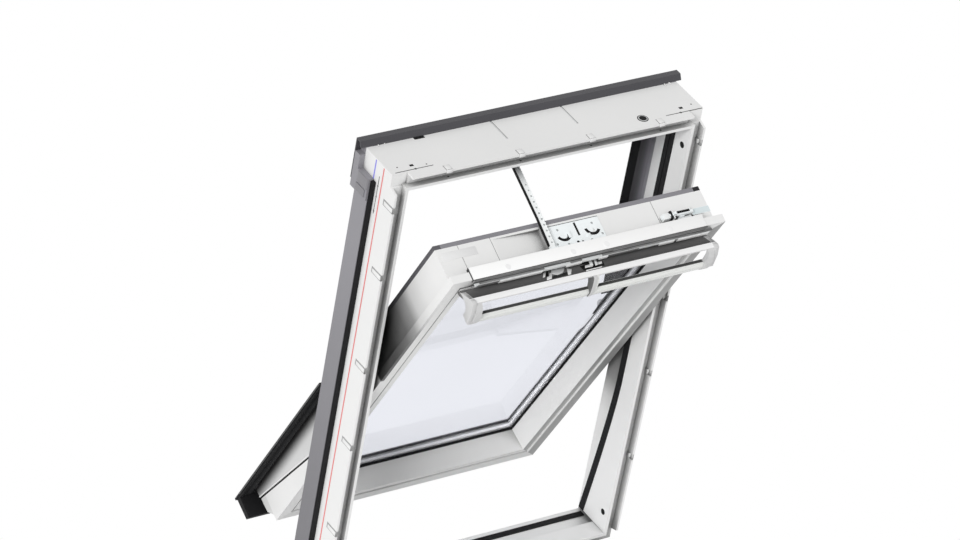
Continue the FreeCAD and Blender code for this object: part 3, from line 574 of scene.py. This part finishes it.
def top_clip(bm, x):
    for start, end, half, n0, n1 in TOP_CLIP_PARTS:
        block(bm, x - half, x + half, HEIGHT + start, HEIGHT + end, n0, n1)


def clip_shadow_seats(bm):
    for side in BOTH_SIDES:
        for share in CLIP_SHARES:
            s = share * HEIGHT
            block(bm, side * (HW - SINK), side * (HW + LINE_PROUD), s - SEAT_HALF, s + SEAT_HALF,
                  *SIDE_SEAT_N)
    for x in TOP_CLIP_X:
        on_top_face(bm, x - SEAT_HALF, x + SEAT_HALF, *TOP_SEAT_N, LINE_PROUD)


def by_each_clip(bm, radius, sunk, depth, sides):
    """Round bodies in the groove's inner wall, one by each clip."""
    for side in BOTH_SIDES:
        for share in CLIP_SHARES:
            start = (side * (HW - GROOVE_T - sunk), share * HEIGHT + SIDE_HOLE_SHIFT, CLIP_HOLE_N)
            disc(bm, start, "x", radius, -side * depth, sides=sides)
    for x in TOP_CLIP_X:
        start = (x + TOP_HOLE_SHIFT, HEIGHT - GROOVE_T - sunk, CLIP_HOLE_N)
        disc(bm, start, "s", radius, depth, sides=sides)


piece("clip_pins", ON_FRAME, white,
      lambda bm: by_each_clip(bm, radius=3.6, sunk=0.2, depth=0.5, sides=24))
piece("clip_shadow_seats", ON_FRAME, clip_shadow, clip_shadow_seats)
for label, side in SIDES:
    for number, share in enumerate(CLIP_SHARES, 1):
        piece("lip_clip_%s_%d" % (label, number), ON_FRAME, white,
              lambda bm: side_clip(bm, side, share * HEIGHT), bevel=CLIP_BEVEL)
for number, x in enumerate(TOP_CLIP_X, 1):
    piece("lip_clip_top_%d" % number, ON_FRAME, white, lambda bm: top_clip(bm, x),
          bevel=CLIP_BEVEL)
piece("groove_holes", ON_FRAME, shadow_black,
      lambda bm: by_each_clip(bm, radius=2.2, sunk=0.3, depth=0.9, sides=20))

# Top face of the frame: corner slots (x from and to, n from and to) and holes (x, n)
CORNER_SLOTS = ((-380.0, -288.0, 3.2, 5.2), (294.0, 387.0, -1.0, 1.0), (-333.0, -329.0, 1.8, 6.6),
                (330.0, 334.0, -2.4, 2.4))
LARGE_HOLES = ((-333.0, 18.0), (342.0, 15.0))
SMALL_HOLES = ((-366.0, 21.0), (372.0, 20.0), (-300.0, 12.0))


def corner_slots(bm):
    for x0, x1, n0, n1 in CORNER_SLOTS:
        on_top_face(bm, x0, x1, n0, n1, SLOT_PROUD)


def holes_at(bm, places, half_x, half_n):
    for x, n in places:
        on_top_face(bm, x - half_x, x + half_x, n - half_n, n + half_n, HOLE_PROUD)


def square_holes(bm):
    holes_at(bm, LARGE_HOLES, half_x=4.5, half_n=3.2)
    holes_at(bm, SMALL_HOLES, half_x=1.6, half_n=1.4)


piece("corner_slots", ON_FRAME, slot_grey, corner_slots)
piece("square_holes", ON_FRAME, shadow_black, square_holes)

# Rings and plug of the cable bore: depth under the top face, near and far radius
BORE_X = 239.0
BORE_N = 7.6
RING_DEPTH = 0.9
BORE_RINGS = (("bore_collar", shadow_black, 0.4, 13.0, 12.0), ("bore_rim", plate_grey, 0.2, 10.8, 10.2),
              ("bore_plug", shadow_black, 0.0, 8.8, 8.4))

for name, finish, sunk, near, far in BORE_RINGS:
    piece(name, ON_FRAME, finish,
          lambda bm: disc(bm, (BORE_X, HEIGHT - sunk, BORE_N), "s", near, RING_DEPTH, far_radius=far))

# Corner hooks bent from a round bar, black catch under the hood and routed lines
HOOK_RADIUS = 8.0
HOOK_THICK = 1.6
HOOK_LIFT = 0.4
HOOK_ARC_DEG = 200.0
CATCH_X0 = TOP_CLIP_X[0] - 11.0
CATCH_X1 = TOP_CLIP_X[0] + 11.0
ROUTE_HALF = 1.2


def hook(bm, x, n):
    made = bmesh.ops.create_circle(bm, cap_ends=True, segments=12, radius=HOOK_THICK,
                                   matrix=Matrix.Translation((x + HOOK_RADIUS, HEIGHT + HOOK_LIFT, -n)))
    spun(bm, made["verts"][0].link_faces[0], (x, HEIGHT + HOOK_LIFT, -n), (0.0, 1.0, 0.0), HOOK_ARC_DEG, 18)


for label, x, n in (("left", -354.0, 103.0), ("right", 365.0, 100.0)):
    piece("corner_hook_%s" % label, ON_FRAME, white, lambda bm: hook(bm, x, n))

piece("cover_catch", ON_FRAME, shadow_black,
      lambda bm: block(bm, CATCH_X0, CATCH_X1, HEIGHT - 4.0, HEIGHT + 0.6, 97.5, 104.0), bevel=0.6)


def routed_inlay(bm):
    for x in TOP_CLIP_X[1:3]:
        block(bm, x - ROUTE_HALF, x + ROUTE_HALF, HEIGHT - 1.2, HEIGHT - 0.6, 38.0, 104.0)


piece("routed_shade", ON_FRAME, plate_grey, routed_inlay)

# Corner covers: panel and latch on the side face, as reach out, s from and to, n from and to
LATCH_BACK = 12.6
LATCH_SLABS = ((14.2, 1101.0, 1127.5, 63.0, 101.0), (15.2, 1080.0, 1098.0, 68.0, 102.0))


def corner_latch(bm, side):
    for reach, s0, s1, n0, n1 in LATCH_SLABS:
        block(bm, side * (HW + LATCH_BACK), side * (HW + reach), s0, s1, n0, n1)


for label, side in SIDES:
    piece("corner_latch_%s" % label, ON_FRAME, latch_grey, lambda bm: corner_latch(bm, side),
          bevel=0.8)

# Ribs of the black side strips
RIB_COUNT = 5
RIB_FIRST_N = 53.0
RIB_STEP = 4.0
RIB_HALF = 0.8
RIB_S0 = 1.0
RIB_S1 = HEIGHT - 53.0
STRIP_OUT = 6.5
RIB_OUT = 7.4


def strip_ribs(bm, side):
    for k in range(RIB_COUNT):
        n = RIB_FIRST_N + k * RIB_STEP
        block(bm, side * (HW + STRIP_OUT), side * (HW + RIB_OUT), RIB_S0, RIB_S1, n - RIB_HALF, n + RIB_HALF)


for label, side in SIDES:
    piece("strip_ribs_%s" % label, ON_FRAME, rubber, lambda bm: strip_ribs(bm, side),
          bevel=0.3)

# Round holes in the frame's inner side faces
HOLE_S = (82.0, 1088.0)
HOLE_N = 2.0
HOLE_RADIUS = 7.4


def side_holes(bm):
    for side in BOTH_SIDES:
        for s in HOLE_S:
            disc(bm, (side * (HW - FRAME_T + 0.2), s, HOLE_N), "x", HOLE_RADIUS, -side * 0.35, sides=28)


piece("hole_caps", ON_FRAME, shadow_black, side_holes)

# Sash top: front strip with its plugs, and the bare label plate
FRONT_X0 = -293.0
FRONT_X1 = 293.0
PLUG_X = (-204.0, -42.0, 42.0, 204.0)
PLUG_N = 30.0


def strip_plugs(bm):
    for x in PLUG_X:
        disc(bm, (x, SASH_TOP + 1.0, PLUG_N), "s", 7.0, 0.9, far_radius=6.2)


piece("strip_plugs", ON_SASH, plug_white, strip_plugs)
piece("strip_face", ON_SASH, strip_white,
      lambda bm: block(bm, FRONT_X0, FRONT_X1, SASH_TOP - 10.4, SASH_TOP + 1.35, 16.4, 47.8), bevel=0.6)
piece("label_plate", ON_SASH, label_white,
      lambda bm: block(bm, -323.0, -240.0, BODY_TOP - 0.2, BODY_TOP + 0.35, 84.0, 103.0), bevel=0.15)

# Lock plate details: curved slots (centre x and n, first and last angle), blades, latch and screws
CAMS = ((-30.0, 86.0, 205.0, 318.0), (42.0, 86.0, 185.0, 328.0))
PLATE_TOP = BODY_TOP + 1.5
CAM_INNER = 13.0
CAM_OUTER = 19.5
CAM_RISE = Vector((0.0, 0.25, 0.0))
CAM_BLADES = ((-21.0, -13.5, 0.2, 2.4, 72.0, 86.0), (22.0, 31.0, 0.2, 1.6, 66.0, 73.0),
              (-1.5, 3.0, 0.2, 4.0, 54.0, 61.0))
LATCH_SHADE = ((-7.0, -1.8, 0.0, 0.3, 53.0, 62.0), (3.4, 9.0, 0.0, 0.3, 52.0, 60.0),
               (2.8, 7.6, 0.0, 0.25, 73.0, 104.0))
PLATE_BORDER = ((-68.6, -66.6, -1.0, 0.2, 56.0, 108.0), (-68.6, 66.0, -1.0, 0.2, 106.6, 107.8))
SCREWS = ((-40.0, 95.5), (46.0, 94.5), (30.0, 57.5), (-27.5, 59.0), (-54.0, 64.0), (60.0, 66.0))


def curved_slots(bm):
    """Two curved slots, each spun from a small face about its own centre."""
    for x, n, first, last in CAMS:
        angle = math.radians(first)
        way = Vector((math.cos(angle), 0.0, -math.sin(angle)))
        centre = Vector((x, PLATE_TOP, -n))
        inner = centre + way * CAM_INNER
        outer = centre + way * CAM_OUTER
        corners = (inner, outer, outer + CAM_RISE, inner + CAM_RISE)
        face = bm.faces.new([bm.verts.new(corner) for corner in corners])
        spun(bm, face, centre, (0.0, -1.0, 0.0), first - last, 16)


def plate_screws(bm):
    for x, n in SCREWS:
        disc(bm, (x, PLATE_TOP - 0.1, n), "s", 2.8, 0.9, far_radius=2.0, sides=20)


piece("curved_slots", ON_SASH, shadow_black, curved_slots)
piece("cam_blades", ON_SASH, zinc, lambda bm: boxes(bm, PLATE_TOP, CAM_BLADES), bevel=0.4)
piece("latch_shade", ON_SASH, shadow_black, lambda bm: boxes(bm, PLATE_TOP, LATCH_SHADE))
piece("plate_border", ON_SASH, slot_grey, lambda bm: boxes(bm, PLATE_TOP, PLATE_BORDER))
piece("plate_screws", ON_SASH, screw_grey, plate_screws)

# Barrel bolt on the right: dark guides, the one over the rod a painted shade, nose guide with the bent tab,
# and end plate
BOLT_GUIDES = ((229.0, 233.5, 0.0, 13.4, 58.0, 76.0), (240.0, 243.0, 0.0, 11.0, 57.0, 70.0),
               (246.0, 278.0, 2.2, 13.2, 66.0, 71.5), (250.0, 288.0, 0.0, 0.4, 51.0, 53.0),
               (284.5, 288.5, 0.0, 2.0, 51.0, 61.0))
BOLT_TAB = ((209.5, 226.0, 0.0, 13.6, 59.0, 73.0), (235.0, 239.0, 0.0, 12.0, 57.0, 75.0),
            (248.0, 284.0, 0.0, 2.4, 53.5, 61.5), (279.0, 283.5, 0.0, 11.0, 62.0, 76.0))
BOLT_PLATE = ((289.0, 333.5, 1.8, 2.3, 60.5, 73.5),)

piece("bolt_guides", ON_SASH, shadow_black, lambda bm: boxes(bm, BODY_TOP, BOLT_GUIDES))
piece("bolt_tab", ON_SASH, bright_zinc, lambda bm: boxes(bm, BODY_TOP, BOLT_TAB), bevel=1.0)
piece("bolt_plate", ON_SASH, blue_zinc, lambda bm: boxes(bm, BODY_TOP, BOLT_PLATE))

# Vent flap: bright front edge, and ribs on its dark top
FLAP_EDGE = ((-19.2, -31.6), (-19.0, -32.4), (-20.4, -43.6), (-27.0, -43.2), (-26.8, -42.4), (-21.0, -42.8),
             (-19.9, -32.4))
FLAP_EDGE_HALF = 309.3
FLAP_HALF = 308.5
FLAP_BACK = (-43.5, -1.2)
FLAP_RUN = (23.9, -30.9)
FLAP_RIBS = 8
FIRST_RIB_SHARE = 0.10
RIB_SHARE_STEP = 0.115
RIB_SHAPE = ((0.0, 0.0), (1.5, -0.2), (2.0, -1.1), (0.7, -2.0))


def flap_ribs(bm):
    for k in range(FLAP_RIBS):
        share = FIRST_RIB_SHARE + k * RIB_SHARE_STEP
        a = FLAP_BACK[0] + FLAP_RUN[0] * share
        b = FLAP_BACK[1] + FLAP_RUN[1] * share
        profile(bm, sash_front([(a + up, b + out) for up, out in RIB_SHAPE]), -FLAP_HALF, FLAP_HALF)


piece("flap_edge", ON_SASH, bright_alu,
      lambda bm: profile(bm, sash_front(FLAP_EDGE), -FLAP_EDGE_HALF, FLAP_EDGE_HALF))
piece("flap_ribs", ON_SASH, flap_painted_light, flap_ribs)

# Strip's room edge in painted shade, with the lock rods, and the bar under it painted lit in some lengths and
# shaded in others, with small breaks
STRIP_EDGE = ((FRONT_X0, FRONT_X1, -10.0, 1.5, 15.9, 16.3), (FRONT_X0, FRONT_X1, 1.36, 1.6, 16.0, 18.2))
STRIP_GAP = ((FRONT_X0, FRONT_X1, 1.36, 1.65, 16.9, 18.7),
             (FRONT_X0 + 2.0, FRONT_X1 - 2.0, -11.4, -7.4, 15.6, 15.95),
             (FRONT_X0 - 2.6, FRONT_X0 - 0.4, -1.0, 0.5, 19.0, 47.6))
ROD_LENGTHS = ((-275.0, -116.0), (-50.0, -22.0), (30.0, 310.0))
LIT_LENGTHS = ((-226.0, -119.0), (-58.0, -20.0), (24.0, 45.0), (176.0, 214.0), (222.0, 300.0))
SHADED_LENGTHS = ((-280.0, -226.0), (45.0, 122.0), (214.0, 222.0))


def lock_rods(bm):
    for x0, x1 in ROD_LENGTHS:
        boxes(bm, SASH_TOP, ((x0, x1, -14.6, -12.0, 12.4, FLANGE_N - 1.0),
                             (x0 + 24.0, x1 - 6.0, -6.0, -4.4, 14.4, 15.9)))


def bar_painted_light(bm):
    boxes(bm, SASH_TOP, [(x0, x1, -25.6, -17.6, 10.4, 11.4) for x0, x1 in LIT_LENGTHS])


def bar_shade(bm):
    boxes(bm, SASH_TOP, [(x0, x1, -22.4, -14.6, 10.8, 11.5) for x0, x1 in SHADED_LENGTHS])


piece("strip_edge", ON_SASH, strip_shade, lambda bm: boxes(bm, SASH_TOP, STRIP_EDGE))
piece("strip_gap", ON_SASH, slot_grey, lambda bm: boxes(bm, SASH_TOP, STRIP_GAP))
piece("lock_rods", ON_SASH, rod_grey, lock_rods, bevel=0.3)
piece("bar_painted_light", ON_SASH, strip_white, bar_painted_light)
piece("bar_shade", ON_SASH, strip_shade, bar_shade)

# Flap's own frame: u from its back edge to its front along the top, w up from the top
FLAP_RISE_DEG = 52.8
ON_FLAP = (ON_SASH @ Matrix.Translation((0.0, SASH_TOP + FLAP_BACK[0], 0.6 - FLANGE_N))
           @ Matrix.Rotation(math.radians(FLAP_RISE_DEG), 4, "X"))

# Dark lines behind and along the flap, and painted highlights on the ends of the ridge behind it
RIDGE_OUT = 311.0
RIDGE_IN = 273.0
RIDGE_N0 = FLANGE_N - 0.8
RIDGE_N1 = FLANGE_N - 0.1


def ridge_highlights(bm):
    for side in BOTH_SIDES:
        block(bm, side * RIDGE_OUT, side * RIDGE_IN, SASH_TOP - 41.0, SASH_TOP - 32.5, RIDGE_N0, RIDGE_N1)


piece("flap_seat_line", ON_FLAP, shadow_black,
      lambda bm: block(bm, -FLAP_HALF, FLAP_HALF, 0.4, 8.6, -0.4, 0.4))
piece("flap_front_line", ON_FLAP, slot_grey,
      lambda bm: block(bm, -308.8, 308.8, 36.6, 39.0, -0.4, 0.3))
piece("ridge_highlights", ON_SASH, bright_alu, ridge_highlights)


# Lock works on the flap's back part: two clips and a plate, then crossed blades and bars
def outline(bm, low, high, *points):
    """Flat shape of (x, u) points on the flap's top, from height low to high."""
    drawn_out(bm, [(x, u, -low) for x, u in points], (0.0, 0.0, low - high))


def lock_plates(bm):
    outline(bm, 1.0, 3.4, (-81.3, -2.7), (-44.3, -5.7), (-62.0, 17.0), (-70.8, 25.0), (-84.0, 27.2),
            (-94.0, 17.0))


def lock_clips(bm):
    outline(bm, 0.8, 3.4, (-97.0, 15.0), (-90.0, 14.3), (-104.6, 36.4), (-117.9, 37.7), (-112.0, 28.0),
            (-105.0, 27.0))
    outline(bm, 0.8, 3.2, (-51.7, 12.0), (-43.8, 19.0), (-56.5, 36.2), (-64.8, 37.4))
    outline(bm, 0.8, 3.0, (-106.0, 6.0), (-99.0, 5.0), (-113.0, 24.0), (-119.0, 24.0))
    outline(bm, 1.2, 3.6, (-9.4, 17.2), (10.3, 17.9), (4.9, 26.0), (-14.8, 25.3))
    outline(bm, 1.2, 3.6, (22.2, 15.2), (34.9, 15.1), (29.4, 23.2), (16.5, 23.7))
    outline(bm, 0.4, 1.6, (-17.1, 33.4), (23.8, 32.4), (20.8, 36.6), (-20.1, 37.6))


def lock_blades(bm):
    outline(bm, 4.0, 8.0, (-67.0, -13.5), (-61.9, -13.7), (-72.1, 5.5), (-76.6, 8.6))
    outline(bm, 4.0, 8.0, (11.3, -6.7), (16.6, -4.3), (4.2, 27.3), (-2.5, 27.0))
    outline(bm, 4.0, 8.0, (18.1, 7.6), (22.4, 9.5), (13.9, 29.6), (8.3, 29.7))


def lock_shadows(bm):
    outline(bm, 0.2, 1.0, (-96.0, -6.7), (-86.7, -7.9), (-106.0, 26.0), (-118.5, 24.0))
    outline(bm, 0.2, 0.9, (-98.0, 25.9), (-56.5, 23.0), (-62.9, 33.6), (-103.4, 34.9))
    outline(bm, 5.0, 7.0, (-73.3, -18.4), (-64.3, -17.6), (-76.3, 0.6), (-85.3, -0.2))
    outline(bm, 3.0, 6.0, (7.0, -18.0), (13.8, -10.1), (1.2, 16.1), (-10.2, 11.3))
    outline(bm, 0.2, 1.0, (-19.0, 12.0), (40.0, 10.0), (31.0, 31.0), (-22.0, 33.0))


lock_pieces = piece("lock_plates", ON_FLAP, plate_grey, lock_plates, bevel=0.5)
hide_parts("lock_case")
piece("lock_clips", ON_FLAP, bright_alu, lock_clips, bevel=0.6)
piece("lock_blades", ON_FLAP, bright_zinc, lock_blades, bevel=0.5)
piece("lock_shadows", ON_FLAP, shadow_black, lock_shadows)

# Curved end plates of flap and handle, and the web between them in the middle
END_CURVE = ((-42.8, -2.3), (-37.0, -7.3), (-19.8, -31.4), (-15.0, -40.0), (-16.5, -47.0), (-23.0, -50.2),
             (-35.1, -56.6), (-51.9, -60.6), (-68.6, -64.6), (-71.0, -58.0), (-68.0, -42.3), (-53.9, -40.8),
             (-47.5, -36.5), (-41.9, -28.8), (-40.6, -16.3))
WEB_CURVE = ((-22.0, -43.8), (-21.0, -49.0), (-30.0, -54.0), (-42.0, -59.0), (-60.0, -64.5), (-76.0, -64.0),
             (-68.0, -54.0), (-60.0, -48.6), (-49.0, -43.6), (-40.0, -36.5), (-28.0, -43.0))
END_OUT = 309.5
END_IN = 299.0
WEB_X0 = -8.8
WEB_X1 = -8.2
WEB_X2 = 1.0


def end_plates(bm):
    for side in BOTH_SIDES:
        profile(bm, sash_front(END_CURVE), side * END_OUT, side * END_IN)


piece("end_plates", ON_SASH, handle_plastic, end_plates, bevel=0.5)
piece("web_side", ON_SASH, web_grey,
      lambda bm: profile(bm, sash_front(WEB_CURVE), WEB_X0, WEB_X1))
piece("web_front", ON_SASH, handle_plastic,
      lambda bm: profile(bm, sash_front(WEB_CURVE), WEB_X1, WEB_X2), bevel=0.3)

# Opener chain: its side plates as a dark sheet of painted shade, rollers and links along its path of (s, n)
# points
CHAIN_X = -73.0
CHAIN_PATH = ((1142.0, 46.0), (1119.0, 0.0), (1097.3, -44.7), (1066.0, -107.0), (1034.5, -163.0))
ROLLERS = 17
LINKS = 2 * ROLLERS


def chain_places(count):
    """Even points along the chain's path, each with its direction."""
    spots = [Vector((0.0, s, -n)) for s, n in CHAIN_PATH]
    lengths = [(b - a).length for a, b in zip(spots, spots[1:])]
    total = sum(lengths)
    for k in range(count):
        run = total * (k + 0.5) / count
        for a, b, length in zip(spots, spots[1:], lengths):
            if run <= length:
                yield a.lerp(b, run / length), (b - a).normalized()
                break
            run -= length


def chain_row(bm, count, shift, size):
    """Small blocks along the chain, each moved across by a shift and turned with the chain."""
    for spot, way in chain_places(count):
        turn = Matrix.Rotation(math.atan2(way.z, way.y), 4, "X")
        middle = Matrix.Translation(spot + Vector((CHAIN_X + shift, 0.0, 0.0)))
        bmesh.ops.create_cube(bm, size=1.0, matrix=middle @ turn @ Matrix.Diagonal((*size, 1.0)))


piece("chain_side_shade", ON_FRAME, shadow_black,
      lambda bm: chain_row(bm, ROLLERS, -6.4, (1.6, 13.6, 8.2)), bevel=0.5)
piece("chain_rollers", ON_FRAME, screw_grey,
      lambda bm: chain_row(bm, ROLLERS, 1.5, (3.4, 3.4, 8.9)), bevel=0.4)
piece("chain_links", ON_FRAME, chain_painted_shade,
      lambda bm: chain_row(bm, LINKS, 5.6, (2.4, 4.0, 9.4)), bevel=0.5)

# Handle bar: dark line along its top edge
GRIP_HALF = 283.0
GRIP_LINE = ((-57.6, -48.2), (-57.4, -54.4), (-58.8, -54.6), (-58.8, -48.2))

piece("grip_line", ON_SASH, slot_grey,
      lambda bm: profile(bm, sash_front(GRIP_LINE), -GRIP_HALF, GRIP_HALF))

# Middle pane of the glazing, between the two halves of the spacer
PANE_X = 277.6
PANE_S0 = 103.0
PANE_S1 = 1057.0
PANE_N0 = 85.4
PANE_N1 = 87.4

piece("glass_middle", ON_SASH, middle_glass,
      lambda bm: block(bm, -PANE_X, PANE_X, PANE_S0, PANE_S1, PANE_N0, PANE_N1))

# Lower side covers: bright fold, and a dark line of painted shade in the gap along the leaf's sloping edge
SKIRT_S = 15.5
LEAF_FOOT_N = 91.0
LEAF_TAPER = 0.141
FLANGE_BACK_N = 38.5
LEAF_END_S = SKIRT_S + (LEAF_FOOT_N - FLANGE_BACK_N) / LEAF_TAPER


def leaf_band(bm, side, inner, outer, near, far):
    """Band along the leaf's edge, from near to far of that edge in depth."""
    profile(bm, [(SKIRT_S, LEAF_FOOT_N + near), (LEAF_END_S, FLANGE_BACK_N + near),
                 (LEAF_END_S, FLANGE_BACK_N + far), (SKIRT_S, LEAF_FOOT_N + far)], side * inner, side * outer)


for label, side in SIDES:
    piece("leaf_fold_%s" % label, ON_SASH, bright_alu,
          lambda bm: leaf_band(bm, side, inner=343.3, outer=344.3, near=0.0, far=2.6))
    piece("leaf_gap_%s" % label, ON_SASH, shadow_black,
          lambda bm: leaf_band(bm, side, inner=341.3, outer=341.8, near=-3.6, far=0.0))

# Floor, backdrop and light
FLOOR_HALF = 30.0
FLOOR_DROP = 0.0005
AMBIENT = 0.56
KEY_STRENGTH = 1.75
KEY_ANGLE_DEG = 20.0
KEY_FROM = Vector((-0.715, -0.60, 0.385))


def seen_rays(tree):
    """One for rays that come from the camera, through glass or off a shiny face, else nought."""
    paths = node(tree, "ShaderNodeLightPath")
    seen = node(tree, "ShaderNodeMath", operation="MAXIMUM")
    also = node(tree, "ShaderNodeMath", operation="MAXIMUM")
    tree.links.new(paths.outputs["Is Camera Ray"], seen.inputs[0])
    tree.links.new(paths.outputs["Is Transmission Ray"], seen.inputs[1])
    tree.links.new(seen.outputs[0], also.inputs[0])
    tree.links.new(paths.outputs["Is Glossy Ray"], also.inputs[1])
    return also.outputs[0]


def add_stage():
    low = cad_box[0][2]
    bm = bmesh.new()
    bmesh.ops.create_grid(bm, x_segments=1, y_segments=1, size=FLOOR_HALF)
    bmesh.ops.translate(bm, verts=bm.verts, vec=(0.0, 0.0, low - FLOOR_DROP))
    mesh = bpy.data.meshes.new("floor")
    bm.to_mesh(mesh)
    bm.free()
    floor = bpy.data.objects.new("floor", mesh)
    bpy.context.scene.collection.objects.link(floor)
    mat, tree, shader = start_material("pale_floor")
    shader.inputs["Roughness"].default_value = 0.9
    shader.inputs["Base Color"].default_value = grey(0.9)
    light = node(tree, "ShaderNodeEmission")
    light.inputs["Color"].default_value = grey(1.0)
    mix = node(tree, "ShaderNodeMixShader")
    output = tree.nodes["Material Output"]
    tree.links.new(seen_rays(tree), mix.inputs[0])
    tree.links.new(shader.outputs[0], mix.inputs[1])
    tree.links.new(light.outputs[0], mix.inputs[2])
    tree.links.new(mix.outputs[0], output.inputs["Surface"])
    floor.data.materials.append(mat)


def add_light():
    world = bpy.data.worlds.new("studio")
    bpy.context.scene.world = world
    world.use_nodes = True
    tree = world.node_tree
    back = tree.nodes["Background"]
    tree.links.new(span(tree, seen_rays(tree), AMBIENT, 1.0), back.inputs["Strength"])
    back.inputs["Color"].default_value = grey(1.0)
    sun = bpy.data.lights.new("key", "SUN")
    sun.energy = KEY_STRENGTH
    sun.angle = math.radians(KEY_ANGLE_DEG)
    lamp = bpy.data.objects.new("key", sun)
    lamp.rotation_euler = KEY_FROM.to_track_quat("Z", "Y").to_euler()
    bpy.context.scene.collection.objects.link(lamp)


add_camera()
add_stage()
add_light()
bpy.context.scene.view_settings.view_transform = "Standard"
